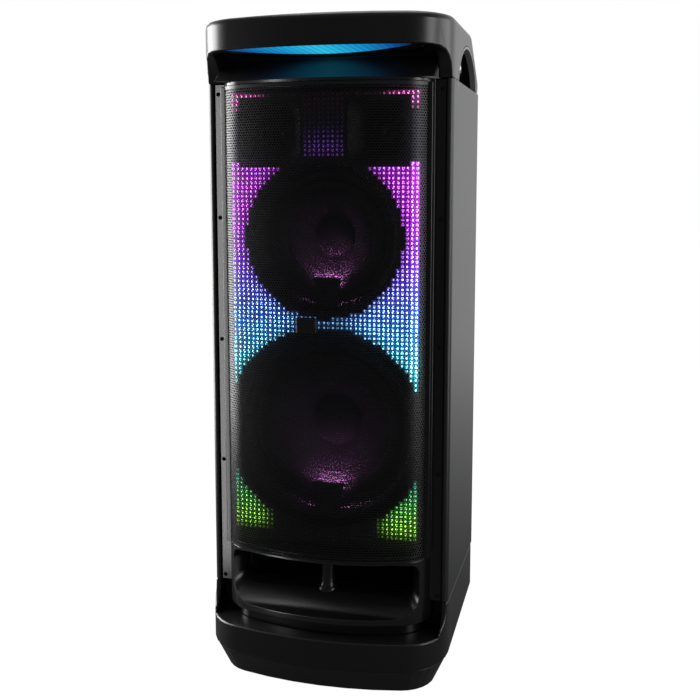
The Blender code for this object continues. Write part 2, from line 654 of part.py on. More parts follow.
def grille():
    """Curved metal sheet pierced by a staggered lattice of diamonds, with a plain hem all round."""
    bm = bmesh.new()
    low, high = GRILLE_BOTTOM + 0.008, GRILLE_TOP - 0.008
    lengths, places = zip(*skin_lengths())
    half = lengths[-1] - 0.008
    edge = float(numpy.interp(half, lengths, places))
    pitch_x, pitch_z = half / GRILLE_COLUMNS, (high - low) / (2 * GRILLE_ROWS)
    strip = 0.16
    made = {}

    def point(x, z):
        key = (round(x, 6), round(z, 6))
        if key not in made:
            along = math.copysign(float(numpy.interp(abs(x), lengths, places)), x)
            made[key] = bm.verts.new((along, housing_y(along), z))
        return made[key]

    def at(i, j):
        return -half + i * pitch_x, low + j * pitch_z

    columns, rows = 2 * GRILLE_COLUMNS, 2 * GRILLE_ROWS
    for i in range(columns + 1):
        for j in range(rows + 1):
            if (i + j) % 2:
                continue
            x, z = at(i, j)
            corners = [(x, z - pitch_z), (x + pitch_x, z), (x, z + pitch_z), (x - pitch_x, z)]
            inside = [abs(a) <= half + 1e-6 and low - 1e-6 <= b <= high + 1e-6 for a, b in corners]
            if all(inside):
                hole = [(x + (a - x) * (1 - strip), z + (b - z) * (1 - strip)) for a, b in corners]
                for k in range(4):
                    m = (k + 1) % 4
                    side = [point(*corners[k]), point(*corners[m])]
                    bm.faces.new(side + [point(*hole[m]), point(*hole[k])])
                continue
            for k in range(4):
                m = (k + 1) % 4
                if inside[k] and inside[m]:
                    bm.faces.new([point(x, z), point(*corners[k]), point(*corners[m])])
    bmesh.ops.recalc_face_normals(bm, faces=bm.faces)
    rim = [e for e in bm.edges if e.is_boundary]
    border = []
    for e in rim:
        xs = [abs(v.co.x) for v in e.verts]
        zs = [v.co.z for v in e.verts]
        flat_side = min(xs) > edge - 1e-5
        flat_end = max(zs) < low + 1e-5 or min(zs) > high - 1e-5
        if flat_side or flat_end:
            border.append(e)
    grown = bmesh.ops.extrude_edge_only(bm, edges=border)["geom"]
    for vert in [g for g in grown if isinstance(g, bmesh.types.BMVert)]:
        x, z = vert.co.x, vert.co.z
        if abs(x) > edge - 1e-5:
            x = math.copysign(GRILLE_HALF, x)
        if z < low + 1e-5:
            z = GRILLE_BOTTOM
        elif z > high - 1e-5:
            z = GRILLE_TOP
        vert.co = (x, housing_y(x), z)
    sheet = stand("grille", mesh_of("grille", bm))
    thicken = sheet.modifiers.new("thicken", "SOLIDIFY")
    thicken.thickness = GRILLE_THICK
    thicken.offset = -1.0
    finish(sheet, "131416", 0.45, 0.6)


def led_panels():
    """Two dotted light panels behind the grille, cut round the woofers and the horns."""
    low, high = GRILLE_BOTTOM + 0.010, GRILLE_TOP - 0.010
    span = (LED_FRONT - 0.01, LED_BACK + 0.01)
    split = LOWER_Z
    upper = extrude("led_panel_upper", "Y", box(-LED_HALF, LED_HALF, split, high), LED_FRONT, LED_BACK)
    lower = extrude("led_panel_lower", "Y", box(-LED_HALF, LED_HALF, low, split), LED_FRONT, LED_BACK)
    big = LOWER_RADIUS * 1.14
    small = UPPER_RADIUS * 1.105
    for panel, name in ((upper, "a"), (lower, "b")):
        hole = ring_profile(0, big, *span)
        cut(panel, revolve(f"cut_led_lower_{name}", "Y", hole, 36, (0, 0, LOWER_Z)))
        finish(panel, "101113", 0.40)
    cut(upper, revolve("cut_led_upper", "Y", ring_profile(0, small, *span), 36, (0, 0, UPPER_Z)))
    for side, name in ((-1, "left"), (1, "right")):
        square = rounded(HORN_HALF + FIT, -HORN_HALF - FIT, HORN_HALF + FIT, 0.016)
        cut(upper, extrude(f"cut_led_horn_{name}", "Y", square, *span, (side * HORN_X, 0, HORN_Z)))


def woofer(name, z, radius, travel, ring_radius):
    """One cone driver on the baffle: basket, magnet, suspension, cone, dust cap, shroud and light pod."""
    front = BAFFLE_FRONT - 0.005 - FIT
    hub = bpy.data.objects.new(f"woofer_{name}_axis", None)
    bpy.context.scene.collection.objects.link(hub)
    hub.location = (0, front, z)

    def turned(part, profile, steps=20):
        return revolve(f"woofer_{name}_{part}", "Y", profile, steps, (0, 0, 0), hub)

    hole = radius - FLANGE_LAP - 1.5 * FIT
    depth = 0.58 * radius
    seat = 0.52 * radius
    coil = COIL_RADIUS
    basket = [(radius, 0), (radius, 0.005), (hole, 0.005), (hole, 0.018), (seat, depth - 0.002)]
    basket += [(seat, depth + 0.004), (coil + 0.0035, depth + 0.004), (coil + 0.0035, depth)]
    basket += [(seat - 0.004, depth), (hole - 0.004, 0.017), (hole - 0.004, 0)]
    frame = turned("frame", basket)
    for i in range(2):
        wide, far = 0.34 * radius, 1.2 * radius
        gap = box(-far, far, -wide / 2, wide / 2)
        window = extrude(f"cut_{name}_basket_{i}", "Y", gap, 0.024, depth - 0.006, (0, 0, 0), hub)
        window.rotation_euler = (0, math.radians(45 + 90 * i), 0)
        cut(frame, window)
    finish(frame, "2C2D30", 0.55, 0.4)
    top = depth + 0.004 + FIT
    slot = 0.016 + travel + 0.003
    core = [(0, top), (coil - 0.0025, top), (coil - 0.0025, top + slot), (coil + 0.0025, top + slot)]
    core += [(coil + 0.0025, top), (0.60 * radius, top), (0.60 * radius, top + slot + 0.010)]
    core += [(0, top + slot + 0.010)]
    finish(turned("magnet", core, 14), "3A3B3D", 0.60, 0.3)
    rim = radius - SURROUND_WIDE
    neck = depth - 0.024
    cone = [(rim, 0.0), (0.6 * rim, 0.55 * neck), (coil, neck), (coil - 0.0006, neck)]
    cone += [(coil - 0.0006, top + 0.014), (coil + 0.0006, top + 0.014), (coil + 0.0006, neck + 0.002)]
    cone += [(0.6 * rim + 0.001, 0.55 * neck + 0.0016), (rim, 0.0016)]
    cap_r = 0.30 * radius
    share = (0.6 * rim - cap_r) / (0.6 * rim - coil)
    cap_t = (0.55 + 0.45 * share) * neck + FIT
    dome = [(0, cap_t - 0.014), (0.5 * cap_r, cap_t - 0.0115), (0.85 * cap_r, cap_t - 0.005)]
    dome += [(cap_r, cap_t), (cap_r - 0.002, cap_t + 0.0012), (0.5 * cap_r, cap_t - 0.0100)]
    dome += [(0, cap_t - 0.0125)]
    cone_body = fuse(turned("cone", cone), turned("dome", dome))
    finish(cone_body, "1A1B1D", 0.65)
    near, far = rim + FIT, radius - 0.016
    middle, wide = (near + far) / 2, (far - near) / 2
    roll = [(radius - 0.007, -FIT), (radius - 0.007, -FIT - 0.0015)]
    roll += [(middle + wide * math.cos(a), -FIT - 0.0015 - 0.0065 * math.sin(a)) for a in arc_turns(4)]
    under = [(middle + (wide - 0.001) * math.cos(a), -FIT - 0.0055 * math.sin(a)) for a in arc_turns(4)]
    roll += [(near, -FIT)] + under[::-1]
    finish(turned("surround", roll), "121315", 0.75)
    spider_in, spider_out = coil + 0.0006 + FIT, seat - 0.0045
    flat = depth - FIT
    wave = [(spider_out, flat), (spider_out, flat - 0.0012)]
    stops = [spider_out + (spider_in - spider_out) * k / 4 for k in range(1, 5)]
    wave += [(r, flat - 0.0045 + 0.0012 * (-1) ** k) for k, r in enumerate(stops)]
    wave += [(r, flat - 0.0033 + 0.0012 * (-1) ** k) for k, r in reversed(list(enumerate(stops)))]
    finish(turned("spider", wave), "C9A24A", 0.85)
    ahead = LED_FRONT - front if ring_radius < LED_HALF - 0.02 else LED_BACK - front + 0.004
    foot = radius - 0.0055
    shroud = [(ring_radius, ahead), (ring_radius, ahead + 0.003), (foot + 0.0025, -FIT), (foot, -FIT)]
    shroud += [(ring_radius - 0.004, ahead)]
    ring = turned("ring", shroud, 24)
    outside = [(ring_radius - 0.002, ahead - 0.004), (ring_radius - 0.002, ahead)]
    outside += [(foot + 0.0012, 0.002), (radius + 0.05, 0.002), (radius + 0.05, ahead - 0.004)]
    inner = 0.57 * radius
    pod_half, tail = 0.195 * radius, 0.15 * radius
    outline = [(-pod_half, -inner), (pod_half, -inner), (tail, -1.2 * radius), (-tail, -1.2 * radius)]
    pod = extrude(f"add_{name}_pod", "Y", outline, -0.0185, -0.0125, (0, 0, 0), hub)
    cut(pod, revolve(f"cut_{name}_pod", "Y", outside, 36, (0, 0, 0), hub))
    fuse(ring, pod)
    finish(ring, "0E0F10", 0.45)


def arc_turns(count):
    return [math.pi * i / count for i in range(count + 1)]


def tweeters():
    """Two square horns, each on the baffle with its compression driver behind."""
    throat = 0.0125
    end = BAFFLE_BACK + 0.016
    collar = BAFFLE_FRONT - FIT
    for side, name in ((-1, "left"), (1, "right")):
        place = (side * HORN_X, 0, HORN_Z)
        stops = [(LED_FRONT, HORN_HALF, 0.016), (LED_BACK + FIT, HORN_HALF, 0.016)]
        stops += [(collar - 0.005, HORN_NECK + 0.009, 0.014), (collar, HORN_NECK + 0.009, 0.014)]
        stops += [(collar + FIT, HORN_NECK - FIT, 0.011), (end, 0.024, 0.011)]
        rings = [on_axis("Y", rounded(h, -h, h, r), y) for y, h, r in stops]
        horn = loft(f"tweeter_{name}_horn", rings, place)
        bore = []
        for step in range(6):
            share = step / 5
            half = (HORN_HALF - 0.003) * (throat / (HORN_HALF - 0.003)) ** (share**0.75)
            radius = min(0.014 + (throat - 0.014) * share, half * 0.999)
            y = LED_FRONT + (end - LED_FRONT) * share
            bore.append(on_axis("Y", rounded(half, -half, half, radius), y))
        bore[0:0] = [[(x, LED_FRONT - 0.01, z) for x, _, z in bore[0]]]
        bore.append([(x, end + 0.01, z) for x, _, z in bore[-1]])
        cut(horn, loft(f"cut_horn_{name}", bore, place))
        finish(horn, "161719", 0.40)
        back = end + FIT
        can = [(0, back), (0.036, back), (0.036, back + 0.006), (0.032, back + 0.008)]
        can += [(0.032, back + 0.028), (0, back + 0.028)]
        finish(revolve(f"tweeter_{name}_driver", "Y", can, 14, place), "2F3032", 0.50, 0.4)


def electronics():
    """Connector plate behind the rear panel, amplifier on its heat sink, and the battery on the floor."""
    depth = 0.004
    sheet = rounded(INPUT_HALF, INPUT_LOW, INPUT_HIGH, 0.010)
    plate = extrude("input_panel", "Y", sheet, PLATE_BACK - depth, PLATE_BACK)
    finish(plate, "191A1C", 0.45)
    span = (PLATE_BACK - depth - OVER, PLATE_BACK + OVER)
    jacks = [(-0.040, 0.135, "jack_microphone_1"), (0.0, 0.135, "jack_microphone_2")]
    jacks += [(0.040, 0.135, "jack_line_in")]
    for x, lift, name in jacks:
        place = (x, 0, INPUT_LOW + lift)
        barrel = JACK_RADIUS - 0.002
        cut(plate, revolve(f"cut_{name}", "Y", ring_profile(0, barrel + FIT, *span), 14, place))
        sleeve = [(0, PLATE_BACK - 0.020), (barrel, PLATE_BACK - 0.020), (barrel, PLATE_BACK + FIT)]
        sleeve += [(JACK_RADIUS, PLATE_BACK + FIT), (JACK_RADIUS, PLATE_BACK + 0.0025)]
        sleeve += [(0.0032, PLATE_BACK + 0.0025)]
        sleeve += [(0.0032, PLATE_BACK - 0.0010), (0, PLATE_BACK - 0.0010)]
        finish(revolve(name, "Y", sleeve, 14, place), "8E9093", 0.35, 0.8)
    for x, name in ((-0.028, "microphone_knob"), (0.028, "echo_knob")):
        place = (x, PLATE_BACK, INPUT_LOW + 0.098)
        grip = [(0, 0.012), (SMALL_KNOB - 0.001, 0.012), (SMALL_KNOB, 0.010), (SMALL_KNOB, 0.0006)]
        grip += [(0.003, 0.0006), (0.003, -0.006), (0, -0.006)]
        cut(plate, revolve(f"cut_{name}", "Y", ring_profile(0, 0.003 + FIT, -0.03, 0.03), 16, place))
        finish(revolve(name, "Y", grip, 16, place), "303134", 0.45)
    socket = rounded(0.0085, -0.0045, 0.0045, 0.001, 2)
    place = (0.040, 0, INPUT_LOW + 0.062)
    body = extrude("usb_socket", "Y", socket, PLATE_BACK - 0.018, PLATE_BACK + 0.0015, place)
    mouth = rounded(0.0065, -0.0025, 0.0025, 0.0005, 2)
    cut(body, extrude("cut_usb", "Y", mouth, PLATE_BACK - 0.0015, PLATE_BACK + OVER, place))
    hole = rounded(0.0085 + FIT, -0.0045 - FIT, 0.0045 + FIT, 0.001, 2)
    cut(plate, extrude("cut_usb_hole", "Y", hole, *span, place))
    finish(body, "9A9C9F", 0.35, 0.9)
    place = (-0.034, 0, INPUT_LOW + 0.034)
    shell = rounded(0.0135, -0.0095, 0.0095, 0.003, 3)
    inlet = extrude("power_inlet", "Y", shell, PLATE_BACK - 0.022, PLATE_BACK + 0.002, place)
    mouth = rounded(0.0105, -0.0065, 0.0065, 0.004, 3)
    cut(inlet, extrude("cut_inlet", "Y", mouth, PLATE_BACK - 0.0012, PLATE_BACK + OVER, place))
    hole = rounded(0.0135 + FIT, -0.0095 - FIT, 0.0095 + FIT, 0.003, 3)
    cut(plate, extrude("cut_inlet_hole", "Y", hole, *span, place))
    finish(inlet, "121315", 0.50)
    pivot = (0.006, PLATE_BACK + 0.0006, INPUT_LOW + 0.034)
    rocker = rocker_outline()
    room = box(-0.0068, 0.0068, -0.0112, 0.0112)
    cut(plate, extrude("cut_rocker", "Y", room, -0.02, 0.02, pivot))
    switch = extrude("power_switch", "X", rocker, -0.006, 0.006, pivot)
    switch.rotation_euler = (math.radians(ROCKER_ANGLE), 0, 0)
    finish(switch, "0F1011", 0.40)
    high = INPUT_LOW - INPUT_GAP
    low = high - SINK_TALL
    wall = REAR_FRONT - FIT
    root, tip = wall - SINK_BASE + 0.001, wall - SINK_BASE - FIN_DEEP + 0.001
    base = extrude("heat_sink", "Z", box(-SINK_HALF, SINK_HALF, wall - SINK_BASE, wall), low, high)
    for i in range(9):
        x = (i - 4) * FIN_PITCH
        fin = box(x - FIN_HALF, x + FIN_HALF, tip, root)
        fuse(base, extrude(f"add_fin_{i}", "Z", fin, low, high))
    finish(base, "8B8D90", 0.45, 0.9)
    card_y = tip - FIT
    sheet = box(-CARD_HALF, CARD_HALF, low - CARD_DROP, high)
    card = extrude("amplifier_board", "Y", sheet, card_y - CARD_THICK, card_y)
    finish(card, "1E4A34", 0.50)
    pack = rounded(PACK_HALF, BAFFLE_BACK + DUCT_LONG + PACK_ROOM, REAR_FRONT - 0.020, 0.008, 3)
    battery = extrude("battery_pack", "Z", pack, FLOOR_Z + FIT, FLOOR_Z + PACK_TALL)
    finish(battery, "2D3A52", 0.55)


def rocker_outline():
    """Side view of the switch: two flats meeting at a shallow valley, pivoting below the plate."""
    half = [(-0.010, -0.008), (-0.002, -0.010), (0.0035, -0.010)]
    return half + [(0.0016, 0.0)] + [(u, -v) for u, v in reversed(half)]


clear_scene()
side_panels()
top_cap()
handle_recess()
controls()
base_bumper()
base_foot()
wheels()
cabinet()
front_housing()
port()
grille()
led_panels()
woofer("upper", UPPER_Z, UPPER_RADIUS, UPPER_TRAVEL, UPPER_RADIUS * 1.105 - FIT)
woofer("lower", LOWER_Z, LOWER_RADIUS, LOWER_TRAVEL, LEDGE_X - FIT)
tweeters()
electronics()
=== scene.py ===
import math

import bmesh
import bpy
import numpy
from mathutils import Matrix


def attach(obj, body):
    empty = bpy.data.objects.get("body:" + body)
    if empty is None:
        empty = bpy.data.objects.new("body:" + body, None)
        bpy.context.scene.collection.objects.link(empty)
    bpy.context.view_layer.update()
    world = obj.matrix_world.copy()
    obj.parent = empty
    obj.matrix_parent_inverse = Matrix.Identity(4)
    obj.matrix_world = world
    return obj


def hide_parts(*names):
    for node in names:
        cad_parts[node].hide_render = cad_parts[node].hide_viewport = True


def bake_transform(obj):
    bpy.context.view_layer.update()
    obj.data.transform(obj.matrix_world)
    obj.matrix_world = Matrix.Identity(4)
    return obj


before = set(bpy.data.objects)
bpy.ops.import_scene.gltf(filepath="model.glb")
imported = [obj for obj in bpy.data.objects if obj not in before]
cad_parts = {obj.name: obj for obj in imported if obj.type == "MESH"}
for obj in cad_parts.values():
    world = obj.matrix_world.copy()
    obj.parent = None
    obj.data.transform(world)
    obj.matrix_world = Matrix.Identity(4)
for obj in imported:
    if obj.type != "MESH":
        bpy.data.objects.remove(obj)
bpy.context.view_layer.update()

# Side panels: flat ABS panels with a rolled front edge, screwed to the frame from the inside.
# The mould is spark-eroded, so they have a fine matt grain and shine softly when seen at a slant.


def linear(code):
    """An sRGB hex colour as the linear values that a shader takes."""
    parts = [int(code[i : i + 2], 16) / 255 for i in (0, 2, 4)]
    return [p / 12.92 if p <= 0.04045 else ((p + 0.055) / 1.055) ** 2.4 for p in parts] + [1.0]


def add(tree, kind, settings=None, inputs=None):
    """Adds a node: an input given a socket is wired to it, and any other input is set."""
    made = tree.nodes.new(kind)
    for name, value in (settings or {}).items():
        setattr(made, name, value)
    for name, value in (inputs or {}).items():
        if isinstance(value, bpy.types.NodeSocket):
            tree.links.new(value, made.inputs[name])
        else:
            made.inputs[name].default_value = value
    return made


def blank(name, values):
    """A new material with these values on its shader: returns it, its tree, its shader and its place."""
    made = bpy.data.materials.new(name)
    made.use_nodes = True
    shader = made.node_tree.nodes["Principled BSDF"]
    for socket, value in values.items():
        shader.inputs[socket].default_value = value
    place = add(made.node_tree, "ShaderNodeTexCoord").outputs["Object"]
    return made, made.node_tree, shader, place


def noise(tree, place, size, detail):
    """A random shade in patches of this size."""
    values = {"Vector": place, "Scale": 1 / size, "Detail": detail}
    return add(tree, "ShaderNodeTexNoise", None, values).outputs["Fac"]


def two_tone(tree, share, code, pale):
    """A colour that goes from one tone to the other with this share."""
    blend = {0: share, 6: linear(code), 7: linear(pale)}
    return add(tree, "ShaderNodeMix", {"data_type": "RGBA"}, blend).outputs[2]


PLASTIC_IOR, GLOSS_SPREAD, GRAIN_STRENGTH = 1.53, 0.06, 0.6
TONE_PATCH = 1 / 7


def moulded(name, code, pale, rough, grain, depth):
    """Moulded plastic: the mould's grain as bump, drawn coarser than the real 0.2 mm, and broad tones."""
    made, tree, shader, place = blank(name, {"IOR": PLASTIC_IOR})
    fine = noise(tree, place, grain, 3.0)
    tone = two_tone(tree, noise(tree, place, TONE_PATCH, 3.0), code, pale)
    spread = {"Value": fine, "To Min": rough - GLOSS_SPREAD, "To Max": rough + GLOSS_SPREAD}
    gloss = add(tree, "ShaderNodeMapRange", None, spread)
    bump = {"Height": fine, "Distance": depth, "Strength": GRAIN_STRENGTH}
    relief = add(tree, "ShaderNodeBump", None, bump)
    tree.links.new(tone, shader.inputs["Base Color"])
    tree.links.new(gloss.outputs["Result"], shader.inputs["Roughness"])
    tree.links.new(relief.outputs["Normal"], shader.inputs["Normal"])
    return made


def shown(name, bm, finish, angle=35):
    """A mesh piece at the origin, smooth but for edges sharper than this angle."""
    mesh = bpy.data.meshes.new(name)
    bm.to_mesh(mesh)
    bm.free()
    mesh.polygons.foreach_set("use_smooth", [True] * len(mesh.polygons))
    mesh.set_sharp_from_angle(angle=math.radians(angle))
    mesh.materials.append(finish)
    piece = bpy.data.objects.new(name, mesh)
    bpy.context.scene.collection.objects.link(piece)
    return piece


def settle(piece, stands_for=(), body="cabinet"):
    """Sets a piece on its body, and hides the CAD nodes that it stands for."""
    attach(piece, body)
    if stands_for:
        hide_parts(*stands_for)
    return piece


EDGE_ANGLE = 38


def soften(piece, edge, segments=3):
    """Rounds the sharp edges of a moulding as a tool maker would, and keeps its flats flat."""
    roll = piece.modifiers.new("edge", "BEVEL")
    roll.width = edge
    roll.segments = segments
    roll.limit_method = "ANGLE"
    roll.angle_limit = math.radians(EDGE_ANGLE)
    roll.use_clamp_overlap = False
    roll.miter_outer = "MITER_ARC"
    piece.modifiers.new("flats", "WEIGHTED_NORMAL").keep_sharp = True
    return piece


def welded(node):
    """The solid of a CAD node as a clean mesh."""
    bm = bmesh.new()
    bm.from_mesh(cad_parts[node].data)
    bmesh.ops.remove_doubles(bm, verts=bm.verts, dist=2e-6)
    bmesh.ops.dissolve_limit(bm, angle_limit=math.radians(0.4), verts=bm.verts, edges=bm.edges)
    return bm


def on_axis(axis, u, v, along):
    """The point of a section drawn across an axis, at this distance along it."""
    return {"X": (along, u, v), "Y": (u, along, v), "Z": (u, v, along)}[axis]


def prism(name, axis, outline, low, high, finish, centre=(0, 0, 0), edge=0.0, segments=2):
    """A flat outline pushed along an axis, with its edges rounded."""
    bm = bmesh.new()
    loops = []
    for along in (low, high):
        ring = [on_axis(axis, u, v, along) for u, v in outline]
        loops.append([bm.verts.new([c + o for c, o in zip(p, centre)]) for p in ring])
    count = len(outline)
    for i in range(count):
        j = (i + 1) % count
        bm.faces.new((loops[0][i], loops[0][j], loops[1][j], loops[1][i]))
    bm.faces.new(loops[0])
    bm.faces.new(loops[1])
    bmesh.ops.recalc_face_normals(bm, faces=bm.faces)
    piece = shown(name, bm, finish)
    return soften(piece, edge, segments) if edge else piece


def arc(x, y, radius, start, end, steps):
    """Points on a circle from one angle to another, in degrees."""
    turns = [math.radians(start + (end - start) * i / steps) for i in range(steps + 1)]
    return [(x + radius * math.cos(t), y + radius * math.sin(t)) for t in turns]


def plain(piece, angle=35):
    """Makes what a piece's modifiers give its own mesh, and smooths it."""
    mesh = bpy.data.meshes.new_from_object(piece.evaluated_get(bpy.context.evaluated_depsgraph_get()))
    piece.modifiers.clear()
    piece.data = mesh
    mesh.polygons.foreach_set("use_smooth", [True] * len(mesh.polygons))
    mesh.set_sharp_from_angle(angle=math.radians(angle))
    return piece


def carved(piece, *tools):
    """Cuts the tools out of a piece, which stays plain mesh, and takes the tools away."""
    for tool in tools:
        cut = piece.modifiers.new("cut", "BOOLEAN")
        cut.object = tool
        cut.solver = "EXACT"
    plain(piece)
    for tool in tools:
        bpy.data.objects.remove(tool, do_unlink=True)
    return piece


satin_abs = moulded("satin_spark_eroded_abs", "161718", "1C1D1E", 0.36, 0.0012, 0.00002)
PANEL_IN, PANEL_OUT, PANEL_FRONT, PANEL_BACK = 0.175, 0.185, -0.096, 0.172
PANEL_LOW, PANEL_HIGH = 0.1284, 0.8946
PANEL_NIP, PANEL_ROLL, PANEL_HEEL = 0.0015, 0.008, 0.003
SIDES = ((-1, "left"), (1, "right"))
for side, name in SIDES:
    edge = arc(PANEL_IN + PANEL_NIP, PANEL_FRONT + PANEL_NIP, PANEL_NIP, 180, 270, 3)
    edge += arc(PANEL_OUT - PANEL_ROLL, PANEL_FRONT + PANEL_ROLL, PANEL_ROLL, 270, 360, 9)
    edge += arc(PANEL_OUT - PANEL_HEEL, PANEL_BACK - PANEL_HEEL, PANEL_HEEL, 0, 90, 4)
    edge += [(PANEL_IN, PANEL_BACK)]
    edge = [(side * x, y) for x, y in edge]
    panel = prism(f"panel_{name}", "Z", edge, PANEL_LOW, PANEL_HIGH, satin_abs)
    carved(panel, shown(f"liner_slot_{name}", welded(f"side_grip_{name}"), satin_abs))
    settle(soften(panel, 0.0006, 2), (f"side_panel_{name}",))

# Top cap: one hollow ABS moulding with the carrying bar in front and a finger arch in each side.
# It is a little glossier than the panels, so its rolled edges catch the light.
frame_abs = moulded("satin_moulded_abs", "101012", "151517", 0.31, 0.0012, 0.000006)


def refined(name, node, finish, edge, body="cabinet", segments=3):
    """The solid of a CAD node as a visible moulding, with its edges rounded."""
    piece = shown(name, welded(node), finish)
    return settle(soften(piece, edge, segments), (node,), body)


refined("cap_moulding", "top_cap", frame_abs, 0.0022, segments=4)

# Arch liners: pale grey nylon half-rings pressed into the side arches, smooth to the fingers.
# Scoop: the sloping panel behind the bar, which the light under the bar shines on, closed at both ends.
liner_nylon = moulded("smooth_nylon", "77787B", "828386", 0.36, 0.0030, 0.00004)
for side in ("left", "right"):
    refined(f"arch_liner_{side}", f"side_grip_{side}", liner_nylon, 0.0008)
scoop_abs = moulded("matt_scoop_abs", "1A1617", "1F1B1C", 0.50, 0.0012, 0.00001)
refined("scoop_panel", "handle_recess", scoop_abs, 0.0012)
SCOOP_END_IN, SCOOP_END_OUT = 0.1388, 0.1626
slope = [(-0.1250, 0.8956), (-0.0760, 0.9300), (-0.0820, 0.9358), (-0.0820, 0.9556)]
slope += [(-0.0700, 0.9556), (-0.0640, 0.9300), (-0.1130, 0.8956)]
for side, name in SIDES:
    near, far = sorted((side * SCOOP_END_IN, side * SCOOP_END_OUT))
    settle(prism(f"scoop_end_{name}", "X", slope, near, far, scoop_abs, edge=0.0006))

# Light under the bar: a milky acrylic lens over a row of lamps, cyan in the middle and blue at its tips.
# The lamps show as soft hot spots through the acrylic.
LENS_TIP, LAMP_PITCH, BETWEEN_LAMPS = 0.134, 0.0105, 0.72
lens_acrylic, tree, shader, place = blank("lit_milky_acrylic", {"Roughness": 0.25, "Emission Strength": 1.0})
shader.inputs["Base Color"].default_value = linear("1B6E8C")
axes = add(tree, "ShaderNodeSeparateXYZ", None, {"Vector": place})
span = {"Value": axes.outputs["X"], "From Min": -LENS_TIP, "From Max": LENS_TIP}
along = add(tree, "ShaderNodeMapRange", None, span)
tint = add(tree, "ShaderNodeValToRGB", None, {"Fac": along.outputs["Result"]})
stops = [(0.0, "03142E"), (0.10, "0A4E9C"), (0.30, "1698D4"), (0.5, "2FC4EC")]
stops += [(1 - spot, code) for spot, code in stops[2::-1]]
for i, (spot, code) in enumerate(stops):
    stop = tint.color_ramp.elements[i] if i < 2 else tint.color_ramp.elements.new(spot)
    stop.position = spot
    stop.color = linear(code)
turns = {0: axes.outputs["X"], 1: 2 * math.pi / LAMP_PITCH}
wave = add(tree, "ShaderNodeMath", {"operation": "MULTIPLY"}, turns)
lamp = add(tree, "ShaderNodeMath", {"operation": "COSINE"}, {0: wave.outputs[0]})
dim = {"Value": lamp.outputs[0], "From Min": -1.0, "From Max": 1.0, "To Min": BETWEEN_LAMPS, "To Max": 1.0}
level = add(tree, "ShaderNodeMapRange", None, dim)
shade = {0: 1.0, 6: tint.outputs["Color"], 7: level.outputs["Result"]}
glow = add(tree, "ShaderNodeMix", {"data_type": "RGBA", "blend_type": "MULTIPLY"}, shade)
tree.links.new(glow.outputs[2], shader.inputs["Emission Color"])
refined("bar_light_lens", "handle_light", lens_acrylic, 0.0004)

# Control panel: a gloss black plate let into the cap, with a knurled volume knob between six buttons.
# The knob is turned from ABS with a ribbed grip; each button is a hard rubber key with a printed sign.
gloss_abs = moulded("gloss_black_abs", "0C0D0E", "111214", 0.16, 0.0040, 0.00002)
knob_abs = moulded("turned_knob_abs", "1D1E20", "232427", 0.34, 0.0015, 0.00005)
key_rubber = moulded("hard_key_rubber", "3A3B3E", "424347", 0.58, 0.0012, 0.00005)
print_white = moulded("screen_printed_white", "C9CACC", "D4D5D7", 0.55, 0.0010, 0.00002)
refined("control_plate", "control_panel", gloss_abs, 0.0004)

PLATE_TOP, MIDDLE_Y, KNOB_R = 0.9694, -0.02064, 0.0212
REPEAT_INPUTS = {}


def repeater():
    """Geometry Nodes tree that sets a shape on every point, turned as the point says, as one mesh."""
    made = bpy.data.node_groups.new("repeat_on_points", "GeometryNodeTree")
    wanted = {"Points": "Geometry", "Shape": "Object", "Finish": "Material"}
    for label, kind in wanted.items():
        socket = made.interface.new_socket(label, in_out="INPUT", socket_type="NodeSocket" + kind)
        REPEAT_INPUTS[label] = socket.identifier
    made.interface.new_socket("Pieces", in_out="OUTPUT", socket_type="NodeSocketGeometry")
    given = add(made, "NodeGroupInput").outputs
    shape = add(made, "GeometryNodeObjectInfo", None, {"Object": given["Shape"], "As Instance": True})
    named = {"data_type": "FLOAT_VECTOR"}
    turn = add(made, "GeometryNodeInputNamedAttribute", named, {"Name": "turn"})
    spin = add(made, "FunctionNodeEulerToRotation", None, {"Euler": turn.outputs["Attribute"]})
    wires = {"Points": given["Points"], "Instance": shape.outputs["Geometry"]}
    wires["Rotation"] = spin.outputs["Rotation"]
    placed = add(made, "GeometryNodeInstanceOnPoints", None, wires)
    whole = add(made, "GeometryNodeRealizeInstances", None, {"Geometry": placed.outputs["Instances"]})
    coat = {"Geometry": whole.outputs["Geometry"], "Material": given["Finish"]}
    coated = add(made, "GeometryNodeSetMaterial", None, coat)
    add(made, "NodeGroupOutput", None, {"Pieces": coated.outputs["Geometry"]})
    return made


repeat_tree = repeater()


def repeat(name, shape, finish, places, turns=None, glow=None):
    """One plain mesh of a shape set at many places, each with its own turn and glow."""
    seeds = bpy.data.meshes.new(name + "_places")
    seeds.from_pydata([tuple(p) for p in places], [], [])
    turns = turns or [(0.0, 0.0, 0.0)] * len(places)
    seeds.attributes.new("turn", "FLOAT_VECTOR", "POINT").data.foreach_set("vector", numpy.ravel(turns))
    if glow is not None:
        seeds.attributes.new("glow", "FLOAT_COLOR", "POINT").data.foreach_set("color", numpy.ravel(glow))
    piece = bpy.data.objects.new(name, seeds)
    bpy.context.scene.collection.objects.link(piece)
    spread = piece.modifiers.new("repeat", "NODES")
    spread.node_group = repeat_tree
    spread[REPEAT_INPUTS["Shape"]] = shape
    spread[REPEAT_INPUTS["Finish"]] = finish
    plain(piece)
    bpy.data.objects.remove(shape, do_unlink=True)
    return piece


